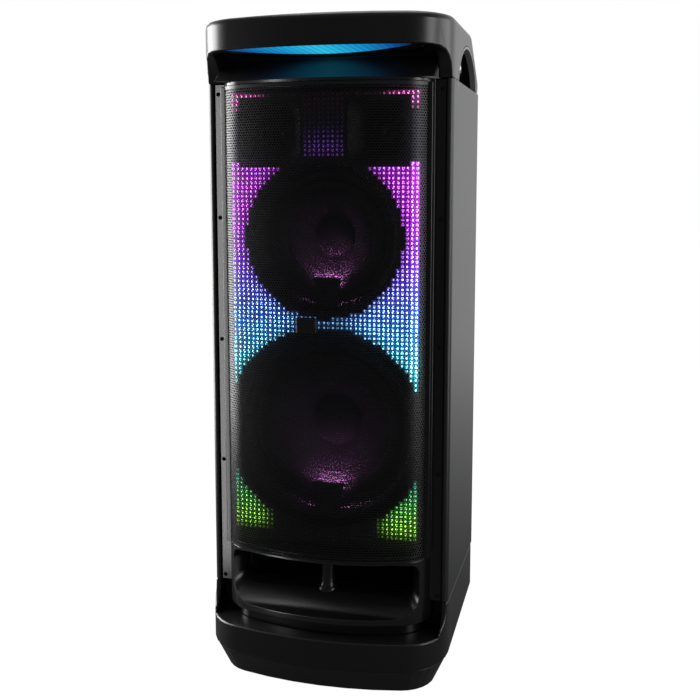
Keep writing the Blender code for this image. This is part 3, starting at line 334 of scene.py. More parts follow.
def turned(name, axis, profile, steps, finish, centre=(0, 0, 0), start=0.0, sweep=360.0, angle=35):
    """A profile of (radius, distance along the axis) points swept round the axis through a centre."""
    bm = bmesh.new()
    whole = sweep >= 360.0
    loops = []
    for i in range(steps if whole else steps + 1):
        a = math.radians(start + sweep * i / steps)
        ring = [on_axis(axis, r * math.cos(a), r * math.sin(a), t) for r, t in profile]
        loops.append([bm.verts.new([c + o for c, o in zip(p, centre)]) for p in ring])
    for i in range(steps):
        near, far = loops[i], loops[(i + 1) % len(loops)]
        for a in range(len(profile)):
            b = (a + 1) % len(profile)
            if profile[a][0] or profile[b][0]:
                bm.faces.new((near[a], near[b], far[b], far[a]))
    if not whole:
        bm.faces.new(loops[0])
        bm.faces.new(loops[-1])
    bmesh.ops.remove_doubles(bm, verts=bm.verts, dist=1e-7)
    bmesh.ops.dissolve_degenerate(bm, edges=bm.edges, dist=1e-7)
    bmesh.ops.recalc_face_normals(bm, faces=bm.faces)
    return shown(name, bm, finish, angle)


def rounded(half_wide, half_tall, radius, steps=5):
    """A rectangle with rounded corners about the middle."""
    x, y = half_wide - radius, half_tall - radius
    points = arc(x, -y, radius, -90, 0, steps) + arc(x, y, radius, 0, 90, steps)
    return points + arc(-x, y, radius, 90, 180, steps) + arc(-x, -y, radius, 180, 270, steps)


def full_turn(count):
    """Angles spread evenly round a full turn."""
    return [2 * math.pi * i / count for i in range(count)]


knob_centre = (0, MIDDLE_Y, PLATE_TOP)
crown = arc(KNOB_R - 0.0022, 0.0073, 0.0022, 0, 90, 5)
knob_profile = [(0, 0.0088), (0.0135, 0.0088), (0.0150, 0.0095)] + crown[::-1]
knob_profile += [(KNOB_R, 0.0006), (0.0046, 0.0006), (0.0046, -0.003), (0, -0.003)]
knob = turned("volume_knob_body", "Z", knob_profile, 72, knob_abs, knob_centre)
settle(knob, ("volume_knob",), "volume_knob")
RIB_COUNT = 60
rib = prism("knob_rib", "Z", rounded(0.0006, 0.0007, 0.0003, 2), 0.0010, 0.0072, knob_abs)
angles = full_turn(RIB_COUNT)
around = [(KNOB_R * math.cos(a), MIDDLE_Y + KNOB_R * math.sin(a), PLATE_TOP) for a in angles]
ribs = repeat("volume_knob_ribs", rib, knob_abs, around, [(0, 0, a + math.pi / 2) for a in angles])
settle(ribs, (), "volume_knob")
mark = prism("volume_knob_mark", "Z", rounded(0.0007, 0.0026, 0.0006, 3), 0.0088, 0.0091, print_white,
             (0, MIDDLE_Y + 0.0095, PLATE_TOP))
settle(mark, (), "volume_knob")

KEY_TOP, SIGN_TALL, SIGN_STROKE, SUN_R = 0.9712, 0.0003, 0.0003, 0.0025
SIGN_LOW = KEY_TOP - 0.0002
ring_sign = [(0.0019, 0), (0.0025, 0), (0.0025, SIGN_TALL), (0.0019, SIGN_TALL)]
bar_sign = rounded(0.0003, 0.0012, 0.0002, 2)
play_sign = [(-0.0016, -0.0020), (0.0022, 0.0), (-0.0016, 0.0020)]
keys = [("power", -0.0415), ("source", -0.0675), ("light", -0.0935)]
keys += [("bass", 0.0415), ("play", 0.0675), ("pairing", 0.0935)]
for word, x in keys:
    body = f"button_{word}"
    refined(f"key_{word}", body, key_rubber, 0.0006, body, 3)
    spot = (x, MIDDLE_Y, SIGN_LOW)
    if word == "power":
        signs = [turned(f"sign_{word}_ring", "Z", ring_sign, 24, print_white, spot, 120, 300)]
        gap_spot = (x, MIDDLE_Y + 0.0022, SIGN_LOW)
        signs.append(prism(f"sign_{word}_bar", "Z", bar_sign, 0, SIGN_TALL, print_white, gap_spot))
    elif word == "play":
        signs = [prism(f"sign_{word}", "Z", play_sign, 0, SIGN_TALL, print_white, spot)]
    elif word == "light":
        ray = prism("ray", "Z", rounded(0.0002, 0.0006, 0.0001, 2), 0, SIGN_TALL, print_white)
        fan = full_turn(8)
        spokes = [(x - SUN_R * math.sin(a), MIDDLE_Y + SUN_R * math.cos(a), SIGN_LOW) for a in fan]
        signs = [repeat(f"sign_{word}_rays", ray, print_white, spokes, [(0, 0, a) for a in fan])]
        disc = [(0, 0), (0.0011, 0), (0.0011, SIGN_TALL), (0, SIGN_TALL)]
        signs.append(turned(f"sign_{word}_disc", "Z", disc, 20, print_white, spot))
    elif word == "bass":
        signs = []
        for k, r in enumerate((0.0008, 0.0017, 0.0026)):
            band = [(r - SIGN_STROKE, 0), (r, 0), (r, SIGN_TALL), (r - SIGN_STROKE, SIGN_TALL)]
            signs.append(turned(f"sign_{word}_{k}", "Z", band, 28, print_white, spot))
    else:
        gap = 0.0016 if word == "source" else 0.0022
        shift = [(x + step * gap, MIDDLE_Y, SIGN_LOW) for step in (-1, 0, 1)]
        tall = bar_sign if word == "source" else rounded(0.0006, 0.0006, 0.0005, 3)
        stroke = prism("stroke", "Z", tall, 0, SIGN_TALL, print_white)
        signs = [repeat(f"sign_{word}", stroke, print_white, shift)]
    for sign in signs:
        settle(sign, (), body)

# Base: the bowed ABS bumper that carries the panels, and the tapered foot screwed up under it.
# The foot stands on two strips of synthetic rubber and has a well for each wheel.
refined("bumper_moulding", "base_bumper", frame_abs, 0.0026, segments=4)
foot_abs = moulded("coarse_moulded_abs", "131414", "191A1A", 0.36, 0.0014, 0.00002)
refined("foot_moulding", "base_foot", foot_abs, 0.0016)
pad_rubber = moulded("synthetic_rubber", "141516", "1A1B1C", 0.82, 0.0018, 0.00020)
for end in ("front", "rear"):
    refined(f"pad_{end}", f"foot_pad_{end}", pad_rubber, 0.0005)

# Transport wheels: a rubber tyre with a grooved tread on a spoked nylon hub, turning on one steel axle.
# The axle is a bright drawn rod held in the foot.
WHEEL_X, WHEEL_Y, WHEEL_Z, WHEEL_R, TREAD_DEEP = 0.1147, 0.134, 0.037, 0.0345, 0.0012
SPOKES, SPOKE_HALF, SPOKE_IN, SPOKE_OUT = 6, 0.0012, 0.0110, 0.0203
AXLE_HALF, AXLE_R, AXLE_EDGE = 0.1412, 0.0040, 0.0008
tyre_rubber = moulded("tyre_rubber", "161718", "1E1F20", 0.78, 0.0016, 0.00018)
hub_nylon = moulded("hub_nylon", "2B2C2F", "333437", 0.48, 0.0020, 0.00006)
tyre = arc(WHEEL_R - 0.0050, 0.0085, 0.0044, 80, 0, 6)
tyre = [(0.0225, 0.0100), (0.0235, 0.0125)] + tyre
tyre += [(WHEEL_R, 0.0075), (WHEEL_R, 0.0050), (WHEEL_R - TREAD_DEEP, 0.0045)]
tyre += [(WHEEL_R - TREAD_DEEP, 0.0025), (WHEEL_R, 0.0020)]
tyre += [(r, -t) for r, t in reversed(tyre)]
hub = [(0.0044, 0.0130), (0.0105, 0.0130), (0.0115, 0.0120), (0.0115, 0.0060), (0.0200, 0.0060)]
hub += [(0.0205, 0.0115), (0.0224, 0.0115)]
hub += [(r, -t) for r, t in reversed(hub)]
for side, name in SIDES:
    centre = (side * WHEEL_X, WHEEL_Y, WHEEL_Z)
    body = f"wheel_{name}"
    tread = turned(f"tyre_{name}", "X", tyre, 72, tyre_rubber, centre)
    settle(tread, (body,), body)
    settle(turned(f"hub_{name}", "X", hub, 48, hub_nylon, centre), (), body)
    web = [(-SPOKE_HALF, SPOKE_IN), (SPOKE_HALF, SPOKE_IN), (SPOKE_HALF, SPOKE_OUT), (-SPOKE_HALF, SPOKE_OUT)]
    spoke = prism("spoke", "X", web, -0.0110, 0.0110, hub_nylon)
    fan = full_turn(SPOKES)
    arms = repeat(f"spokes_{name}", spoke, hub_nylon, [centre] * SPOKES, [(a, 0, 0) for a in fan])
    settle(arms, (), body)


def metal(name, code, mark, low, high):
    """Bare or plated metal with a polish that shifts over marks of this size, drawn coarser than real."""
    made, tree, shader, place = blank(name, {"Metallic": 1.0, "Base Color": linear(code)})
    spread = {"Value": noise(tree, place, mark, 2.0), "To Min": low, "To Max": high}
    polish = add(tree, "ShaderNodeMapRange", None, spread)
    tree.links.new(polish.outputs["Result"], shader.inputs["Roughness"])
    return made


drawn_steel = metal("drawn_steel", "A7A9AC", 1 / 420, 0.18, 0.38)
rod = [(0, -AXLE_HALF), (AXLE_R - AXLE_EDGE, -AXLE_HALF), (AXLE_R, AXLE_EDGE - AXLE_HALF)]
rod += [(r, -t) for r, t in reversed(rod)]
axle = turned("axle_rod", "X", rod, 32, drawn_steel, (0, WHEEL_Y, WHEEL_Z))
settle(axle, ("wheel_axle",))

# Cabinet: fibre boards, glued and sprayed black, closed by a moulded rear panel with a leather grain.
# The boards show only through the finger arches and the gaps beside the housing.
baffle_paint = moulded("black_sprayed_board", "0B0B0C", "101011", 0.70, 0.0016, 0.00012)
rear_abs = moulded("leather_grain_abs", "1E1F21", "252628", 0.55, 0.0034, 0.00030)


def painted(node, finish):
    """Coats a CAD node that shows as it is."""
    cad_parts[node].material_slots[0].material = finish


for node in ("top_board", "bottom_board", "front_baffle"):
    painted(node, baffle_paint)
refined("rear_moulding", "rear_panel", rear_abs, 0.0010)

# Front housing: the moulded column that carries the grille, with the flared port mouth at its foot.
# The duct behind the mouth is a plain moulding, and a turned pillar props the mouth's roof.
housing_abs = moulded("satin_housing_abs", "0C0C0E", "111113", 0.25, 0.0012, 0.000006)


def lofted(name, rings, finish):
    """A solid through a row of closed rings of equal count."""
    bm = bmesh.new()
    loops = [[bm.verts.new(p) for p in ring] for ring in rings]
    for near, far in zip(loops, loops[1:]):
        for i in range(len(near)):
            j = (i + 1) % len(near)
            bm.faces.new((near[i], near[j], far[j], far[i]))
    bm.faces.new(loops[0])
    bm.faces.new(loops[-1])
    bmesh.ops.recalc_face_normals(bm, faces=bm.faces)
    return shown(name, bm, finish)


def flared(sizes, y, start, length, power):
    """A size of the mouth at this depth, from its throat size to its lip size along a curved flare."""
    share = min(1.0, max(0.0, (start - y) / length)) ** power
    return sizes[0] + (sizes[1] - sizes[0]) * share


MOUTH_HALF, MOUTH_LOW, MOUTH_HIGH = (0.1314, 0.1490), (0.1356, 0.1105), (0.1874, 0.1935)
SIDE_FLARE, TALL_FLARE, MOUTH_CORNER = (-0.0865, 0.0335, 1.5), (-0.1010, 0.0340, 1.3), 0.015
MOUTH_FRONT, MOUTH_BACK = -0.186, -0.072
rings = []
for y in numpy.linspace(MOUTH_FRONT, MOUTH_BACK, 40):
    half = flared(MOUTH_HALF, y, *SIDE_FLARE)
    low, high = [flared(sizes, y, *TALL_FLARE) for sizes in (MOUTH_LOW, MOUTH_HIGH)]
    edge = rounded(half, (high - low) / 2, MOUTH_CORNER, 8)
    rings.append([(u, float(y), v + (high + low) / 2) for u, v in edge])
housing = shown("housing_moulding", welded("front_housing"), housing_abs)
carved(housing, lofted("mouth_cut", rings, housing_abs))
settle(soften(housing, 0.0012, 3), ("front_housing",))
duct_abs = moulded("matt_duct_abs", "101112", "151617", 0.60, 0.0022, 0.00008)
refined("duct_moulding", "port_duct", duct_abs, 0.0010)
PILLAR = (0, -0.0955, 0.135)
pillar = [(0, -0.0060), (0.0147, -0.0060), (0.0147, 0.0004), (0.0140, 0.0014), (0.0122, 0.0036)]
pillar += [(0.0110, 0.0065), (0.0103, 0.0100), (0.0100, 0.0150), (0.0100, 0.0430), (0.0106, 0.0470)]
pillar += [(0.0118, 0.0500), (0.0130, 0.0524), (0, 0.0524)]
settle(turned("pillar_turning", "Z", pillar, 48, frame_abs, PILLAR), ("port_pillar",))

# Screws: black zinc cross-head screws that hold the housing flanges, the rear panel and the input plate.
# Each has a low domed head with a cross driven into it.
HEAD_RISE, CROSS_ARM, CROSS_THICK, CROSS_FLOOR = 0.36, 0.58, 0.13, 0.42
FLANGE_SCREW, REAR_SCREW, PLATE_SCREW = 0.0033, 0.0040, 0.0026
zinc_black = metal("black_zinc_steel", "3A3B3E", 1 / 900, 0.28, 0.50)


def screw_shape(radius):
    """A domed head facing -Y with a cross recess."""
    tall = HEAD_RISE * radius
    dome = [(0, -tall), (0.55 * radius, -0.88 * tall), (0.85 * radius, -0.52 * tall), (radius, 0), (0, 0)]
    head = turned("screw_head", "Y", dome, 20, zinc_black)
    arm, thick = CROSS_ARM * radius, CROSS_THICK * radius
    for across, up in ((arm, thick), (thick, arm)):
        box = [(-across, -up), (across, -up), (across, up), (-across, up)]
        carved(head, prism("screw_cross", "Y", box, -2 * tall, -CROSS_FLOOR * tall, zinc_black))
    return head


GROOVE_X, FLANGE_Y = 0.1690, -0.0921
heights = [0.136, 0.3225, 0.5115, 0.697, 0.880]
places = [(side * GROOVE_X, FLANGE_Y, z) for side in (-1, 1) for z in heights]
tilts = [(0, 0.4 + 1.3 * i, 0) for i in range(len(places))]
groove_screws = repeat("groove_screws", screw_shape(FLANGE_SCREW), zinc_black, places, tilts)
settle(groove_screws)
REAR_Y, BACK_TURN = 0.1579, math.pi
rear_x = [-0.165, -0.083, 0.0, 0.083, 0.165]
places = [(x, REAR_Y, z) for x in rear_x for z in (0.098, 0.880)]
places += [(side * 0.165, REAR_Y, z) for side in (-1, 1) for z in (0.25, 0.41, 0.57, 0.73)]
tilts = [(0, 0.9 * i, BACK_TURN) for i in range(len(places))]
rear_screws = repeat("rear_screws", screw_shape(REAR_SCREW), zinc_black, places, tilts)
settle(rear_screws)

# Grille: a steel sheet pierced with staggered round holes, powder coated, rolled to the housing's curve.
# It wraps round the housing's corners, and its edge is folded into a plain hem.
# Holes are drawn a little wider apart than the real 3 mm so they show.
HOUSING_HALF, HOUSING_FRONT, HOUSING_BOW, HOUSING_CORNER = 0.160, -0.156, 0.340, 0.060
GRILLE_LOW, GRILLE_HIGH, WRAP = 0.198, 0.8886, 72.0
HOLE_PITCH, HOLE_RADIUS = 0.0042, 0.00172
SHEET_THICK, SHEET_PROUD, BANDS = 0.0011, 0.0009, 5
HEM_SIDE, HEM_LOW, HEM_HIGH, HEM_THICK, HEM_STEP = 0.0036, 0.0026, 0.0046, 0.0015, 0.0003
LAP_SIDE, LAP_TALL = 0.002, 0.0012
steel_coat = moulded("powder_coated_steel", "101013", "161619", 0.36, 0.0014, 0.00002)
bow_y, corner_x = HOUSING_FRONT + HOUSING_BOW, HOUSING_HALF - HOUSING_CORNER
corner_y = bow_y - math.sqrt((HOUSING_BOW - HOUSING_CORNER) ** 2 - corner_x**2)
lean = math.degrees(math.asin(corner_x / (HOUSING_BOW - HOUSING_CORNER)))
on_left, on_right = numpy.linspace(-WRAP, -lean, 300), numpy.linspace(lean, WRAP, 300)
on_front = numpy.linspace(-lean, lean, 600)[1:-1]
skin_turn = numpy.radians(numpy.concatenate((on_left, on_front, on_right)))
on_corner = numpy.abs(skin_turn) >= math.radians(lean) - 1e-9
skin_r = numpy.where(on_corner, HOUSING_CORNER, HOUSING_BOW)
skin_x = numpy.where(on_corner, numpy.sign(skin_turn) * corner_x, 0.0) + skin_r * numpy.sin(skin_turn)
skin_depth = numpy.where(on_corner, corner_y, bow_y) - skin_r * numpy.cos(skin_turn)
steps = numpy.hypot(numpy.diff(skin_x), numpy.diff(skin_depth))
skin_length = numpy.concatenate(([0.0], numpy.cumsum(steps)))
skin_length -= skin_length[-1] / 2
SHEET_HALF = float(skin_length[-1])


def rolled(mesh, proud):
    """Rolls a flat sheet, drawn as length along the skin and height, onto the housing's curve."""
    flat = numpy.zeros(len(mesh.vertices) * 3)
    mesh.vertices.foreach_get("co", flat)
    flat = flat.reshape(-1, 3)
    turn, x, y = [numpy.interp(flat[:, 0], skin_length, row) for row in (skin_turn, skin_x, skin_depth)]
    bent = [x + proud * numpy.sin(turn), y - proud * numpy.cos(turn), flat[:, 1]]
    mesh.vertices.foreach_set("co", numpy.stack(bent, axis=1).ravel())
    mesh.update()


def thickened(piece, thick):
    """Gives a rolled sheet its thickness, inwards, as plain mesh."""
    wall = piece.modifiers.new("sheet", "SOLIDIFY")
    wall.thickness = thick
    wall.offset = -1.0
    return plain(piece, 40)


def pierced_cell(wide, tall):
    """One flat cell of the sheet: an eight-sided hole in a rim that its neighbours share."""
    bm = bmesh.new()
    rim = [(-wide / 2, -tall / 2), (0, -tall / 2), (wide / 2, -tall / 2)]
    rim += [(wide / 2, tall / 2), (0, tall / 2), (-wide / 2, tall / 2)]
    hole = arc(0, 0, HOLE_RADIUS, -180, 135, 7)
    outer = [(math.atan2(y, x), bm.verts.new((x, y, 0)), 0) for x, y in rim]
    inner = [(math.atan2(y, x), bm.verts.new((x, y, 0)), 1) for x, y in hole]
    order = sorted(outer + inner, key=lambda p: (p[0], p[2]))
    last = {0: max(outer, key=lambda p: p[0])[1], 1: max(inner, key=lambda p: p[0])[1]}
    for _, vert, kind in order:
        corners = [last[kind], vert, last[1 - kind]] if kind == 0 else [vert, last[kind], last[1 - kind]]
        bm.faces.new(corners)
        last[kind] = vert
    bmesh.ops.recalc_face_normals(bm, faces=bm.faces)
    for face in bm.faces:
        if face.normal.z < 0:
            face.normal_flip()
    return shown("pierced_cell", bm, steel_coat)


row_tall = HOLE_PITCH * math.sqrt(3) / 2
columns = int((2 * SHEET_HALF - 2 * (HEM_SIDE - LAP_SIDE)) / HOLE_PITCH)
low, high = GRILLE_LOW + HEM_LOW - LAP_TALL, GRILLE_HIGH - HEM_HIGH + LAP_TALL
rows = int((high - low) / row_tall)
first_z = (low + high) / 2 - (rows - 1) * row_tall / 2
for band in range(BANDS):
    lattice = []
    for j in range(rows * band // BANDS, rows * (band + 1) // BANDS):
        count = columns - j % 2
        lattice += [((i - (count - 1) / 2) * HOLE_PITCH, first_z + j * row_tall, 0) for i in range(count)]
    sheet = repeat(f"grille_sheet_{band + 1}", pierced_cell(HOLE_PITCH, row_tall), steel_coat, lattice)
    bm = bmesh.new()
    bm.from_mesh(sheet.data)
    bmesh.ops.remove_doubles(bm, verts=bm.verts, dist=1e-5)
    bm.to_mesh(sheet.data)
    bm.free()
    rolled(sheet.data, SHEET_PROUD)
    settle(thickened(sheet, SHEET_THICK), ("grille",) if band == 0 else ())

bm = bmesh.new()
us = [-SHEET_HALF] + list(numpy.linspace(HEM_SIDE - SHEET_HALF, SHEET_HALF - HEM_SIDE, 121)) + [SHEET_HALF]
vs = [GRILLE_LOW, GRILLE_LOW + HEM_LOW] + list(numpy.linspace(GRILLE_LOW + 0.02, GRILLE_HIGH - 0.02, 40))
vs += [GRILLE_HIGH - HEM_HIGH, GRILLE_HIGH]
grid = [[bm.verts.new((u, v, 0)) for v in vs] for u in us]
for i in range(len(us) - 1):
    for j in range(len(vs) - 1):
        if 0 < i < len(us) - 2 and 0 < j < len(vs) - 2:
            continue
        bm.faces.new((grid[i][j], grid[i + 1][j], grid[i + 1][j + 1], grid[i][j + 1]))
bmesh.ops.delete(bm, geom=[v for v in bm.verts if not v.link_faces], context="VERTS")
hem = shown("grille_hem", bm, steel_coat)
rolled(hem.data, SHEET_PROUD + HEM_STEP)
settle(thickened(hem, HEM_THICK))

# Name plate: a small gloss acrylic plate in a thin frame, glued to the grille and left bare.
# It sits between the two woofers, a little left of the middle.
PLATE_X, PLATE_Z, PLATE_HALF_X, PLATE_HALF_Z, PLATE_RIM = -0.014, 0.546, 0.0150, 0.0120, 0.0014
plate_y = float(numpy.interp(PLATE_X, skin_x, skin_depth)) - SHEET_PROUD
spot = (PLATE_X, plate_y, PLATE_Z)
outer = rounded(PLATE_HALF_X, PLATE_HALF_Z, 0.0020)
plate = prism("name_plate", "Y", outer, -0.0014, 0.0004, gloss_abs, spot, 0.0004)
settle(plate)
inner = rounded(PLATE_HALF_X - PLATE_RIM, PLATE_HALF_Z - PLATE_RIM, 0.0012)
face = prism("name_plate_face", "Y", inner, -0.0018, -0.0012, frame_abs, spot, 0.0002)
settle(face)

# Light panels: black boards with a lamp every 7 mm under a small clear lens, cut round the drivers.
# A thin film between the lamps glows in their colour, a painted haze of light; lamps near a driver fade as
# painted shade of its ring.
# Colours run from magenta at the top through violet, blue and cyan to yellow-green at the foot.
LED_FRONT, LED_STEP_X, LED_STEP_Z = -0.114, 0.0069, 0.0066
LAMP_WIDE, LAMP_TALL = 0.0016, 0.0021
FIELD_HALF, FIELD_LOW, FIELD_HIGH = 0.1380, 0.2146, 0.876
FOOT_TOP, MIDDLE_TOP, WOOFER_TOP, HORN_TOP = 0.34, 0.60, 0.782, 0.845
COLUMN_X, LEFT_GAIN, RIGHT_GAIN = 0.131, 1.3, 2.4
UPPER_Z, LOWER_Z, UPPER_R, LOWER_R = 0.669, 0.3838, 0.1036, 0.1305
UPPER_RING, LOWER_RING = UPPER_R * 1.105, 0.1361
# The lower lamps stop where the ring's shade ends, wider than the ring, and the last band of lamps fades as
# painted shade.
UPPER_CLEAR, LOWER_CLEAR, HORN_CLEAR, RING_SHADE_BAND = UPPER_RING + 0.004, 0.1535, 0.003, 0.013
HORN_X, HORN_Z, HORN_HALF = 0.0784, 0.823, 0.0456
board_coat = moulded("black_lamp_board", "0A0A0C", "101013", 0.50, 0.0030, 0.00005)
for node in ("led_panel_upper", "led_panel_lower"):
    painted(node, board_coat)


def glowing(name, code, rough, strength):
    """A dark lens or film that gives off the colour held by each of its points."""
    values = {"Base Color": linear(code), "Roughness": rough, "Emission Strength": strength}
    made, tree, shader, place = blank(name, values)
    glow = add(tree, "ShaderNodeAttribute", {"attribute_name": "glow"})
    tree.links.new(glow.outputs["Color"], shader.inputs["Emission Color"])
    return made


lamp_dome = glowing("lit_lamp_dome", "16161A", 0.3, 5.2)
# The film between the lamps is painted glow: it gives off their light as if spread between them.
lamp_glow_film = glowing("painted_lamp_glow_film", "0C0C10", 0.5, 0.85)
tints = [(0.208, "A6E04A"), (0.245, "9CE048"), (0.275, "6FD070"), (0.305, "50C0A0"), (0.330, "3890A0")]
tints += [(0.430, "60E0E0"), (0.455, "7CF0EC"), (0.490, "8CF0F4"), (0.520, "8CE4FC"), (0.550, "90CCFF")]
tints += [(0.580, "98B4FF"), (0.610, "A898FF"), (0.640, "B880FA"), (0.680, "C868F8"), (0.740, "D868F4")]
tints += [(0.790, "B060F0"), (0.840, "8060F0"), (0.855, "F078C8"), (0.880, "F080C0")]
hazes = [(0.208, "3E8A10"), (0.275, "3AA02A"), (0.330, "108060"), (0.430, "18A8B0"), (0.480, "1898C0")]
hazes += [(0.520, "2080D8"), (0.560, "3058E4"), (0.600, "5038E8"), (0.640, "7A18E0"), (0.680, "9A10D8")]
hazes += [(0.760, "A818C8"), (0.800, "4018A0"), (0.845, "4018A0"), (0.880, "C02898")]


def shade_at(stops, z):
    """The colour, in linear values, at this height in a list of heights and colours."""
    values = numpy.array([linear(code)[:3] for _, code in stops])
    return [float(numpy.interp(z, [h for h, _ in stops], values[:, k])) for k in range(3)]


def ease(value, low, high):
    """A smooth step from 0 at the low value to 1 at the high one."""
    share = min(1.0, max(0.0, (value - low) / (high - low)))
    return share * share * (3 - 2 * share)


def lamp_level(x, z):
    """How bright the lamp at this place is: bright side columns, dim round the horns, dark at the foot."""
    gain = RIGHT_GAIN if x > COLUMN_X else LEFT_GAIN if x < -COLUMN_X else 1.0
    x = abs(x)
    if z < FOOT_TOP:
        return 0.6 * ease(x, 0.075, 0.115) * ease(z, 0.222, 0.245)
    if z < MIDDLE_TOP:
        return gain * (0.28 + 0.72 * ease(x, 0.02, 0.10))
    if z < WOOFER_TOP:
        return gain * (0.22 + 0.78 * ease(x, 0.05, 0.12))
    if z < HORN_TOP:
        near_woofer, near_middle = 1 - ease(z, 0.780, 0.838), 1 - 0.6 * ease(x, 0.010, 0.033)
        return 0.008 if x > 0.10 else 0.003 + 0.10 * near_woofer * near_middle
    return 0.002 + 0.60 * ease(x, 0.080, 0.135) * ease(z, 0.848, 0.868)


lamps, glows, films = [], [], []
across, ups = int(FIELD_HALF / LED_STEP_X), int((FIELD_HIGH - FIELD_LOW) / LED_STEP_Z)
for i in range(-across, across + 1):
    for j in range(ups + 1):
        x, z = i * LED_STEP_X, FIELD_LOW + j * LED_STEP_Z
        gap = min(math.hypot(x, z - UPPER_Z) - UPPER_CLEAR, math.hypot(x, z - LOWER_Z) - LOWER_CLEAR)
        if gap < 0 or max(abs(abs(x) - HORN_X), abs(z - HORN_Z)) < HORN_HALF + HORN_CLEAR:
            continue
        # Lamps fade close to a driver's ring: painted shade of the ring.
        level = lamp_level(x, z) * (0.35 + 0.65 * ease(gap, 0.0, RING_SHADE_BAND))
        lamps.append((x, LED_FRONT, z))
        glows.append([t * level for t in shade_at(tints, z)] + [1.0])
        films.append([t * level for t in shade_at(hazes, z)] + [1.0])
rings = []
for share, along in ((1.0, 0.0002), (1.0, -0.0004), (0.62, -0.0011)):
    edge = rounded(LAMP_WIDE * share, LAMP_TALL * share, LAMP_WIDE * 0.8 * share, 2)
    rings.append([(u, along, v) for u, v in edge])
lamp = lofted("lamp", rings, lamp_dome)
settle(repeat("light_dots", lamp, lamp_dome, lamps, glow=glows))
wide, tall = LED_STEP_X / 2, LED_STEP_Z / 2
tile = [(-wide, -tall), (wide, -tall), (wide, tall), (-wide, tall)]
# Each film tile glows with a painted haze of the light of the lamp at its place.
film = prism("film", "Y", tile, -0.0002, 0.0001, lamp_glow_film)
settle(repeat("light_haze", film, lamp_glow_film, lamps, glow=films))

# Woofers: a coated paper cone with a soft dust cap, hung in a rolled rubber surround on a steel basket.
# A flared trim ring joins each to the light panel and carries a small lamp pod at its foot.
# The pod's lens faces the cone under a visor, so the cone glows and the lamp itself is hidden.
FIBRE, THREAD, LAMP_SPOT = 1 / 260, 1 / 220, 1 / 160
cone_paper, tree, shader, place = blank("coated_cone_paper", {"Roughness": 0.78, "IOR": 1.45})
fibre = noise(tree, place, FIBRE, 6.0)
felt = add(tree, "ShaderNodeBump", None, {"Height": fibre, "Distance": 0.00005, "Strength": 0.4})
tree.links.new(two_tone(tree, fibre, "28282C", "3C3C42"), shader.inputs["Base Color"])
tree.links.new(felt.outputs["Normal"], shader.inputs["Normal"])
roll_rubber = moulded("rolled_butyl_rubber", "0F1011", "151617", 0.50, 0.0030, 0.00005)
trim_abs = moulded("matt_trim_abs", "0B0B10", "101016", 0.66, 0.0026, 0.00004)
basket_steel = moulded("painted_basket_steel", "1C1D1F", "242527", 0.45, 0.0020, 0.00008)
magnet_coat = moulded("black_phosphate", "1E1F22", "2A2B2F", 0.55, 0.0020, 0.00012)
weave, tree, shader, place = blank("resin_dipped_cloth", {"Roughness": 0.8})
thread = {"wave_type": "BANDS", "bands_direction": "DIAGONAL"}
mesh_wave = add(tree, "ShaderNodeTexWave", thread, {"Vector": place, "Scale": 1 / THREAD, "Distortion": 0.4})
tree.links.new(two_tone(tree, mesh_wave.outputs["Fac"], "A87F2C", "D2AC58"), shader.inputs["Base Color"])
pod_glow, tree, shader, place = blank("lit_pod_lens", {"Roughness": 0.3, "Emission Strength": 340.0})
shader.inputs["Base Color"].default_value = linear("2A1230")
tone = two_tone(tree, noise(tree, place, LAMP_SPOT, 1.0), "C070CC", "E890C8")
tree.links.new(tone, shader.inputs["Emission Color"])
WOOFER_FRONT, COIL_R, COIL_HALF, GAP, SECTORS = -0.0799, 0.019, 0.0006, 0.0004, 12
CAP_TURN, CAP_RISE, BEAD_WIDE, BEAD_TALL = 1.35, 0.014, 0.0014, 0.0009
POD_TOP, POD_TOE, POD_REACH = 0.195, 0.150, 1.02
POD_FRONT, POD_BACK, VISOR_BACK, LENS_BACK = -0.0185, -0.0125, -0.0094, -0.0098
woofers = [("upper", UPPER_Z, UPPER_R, UPPER_RING - GAP, -0.0341, 0.57)]
woofers += [("lower", LOWER_Z, LOWER_R, LOWER_RING, -0.0276, 0.66)]
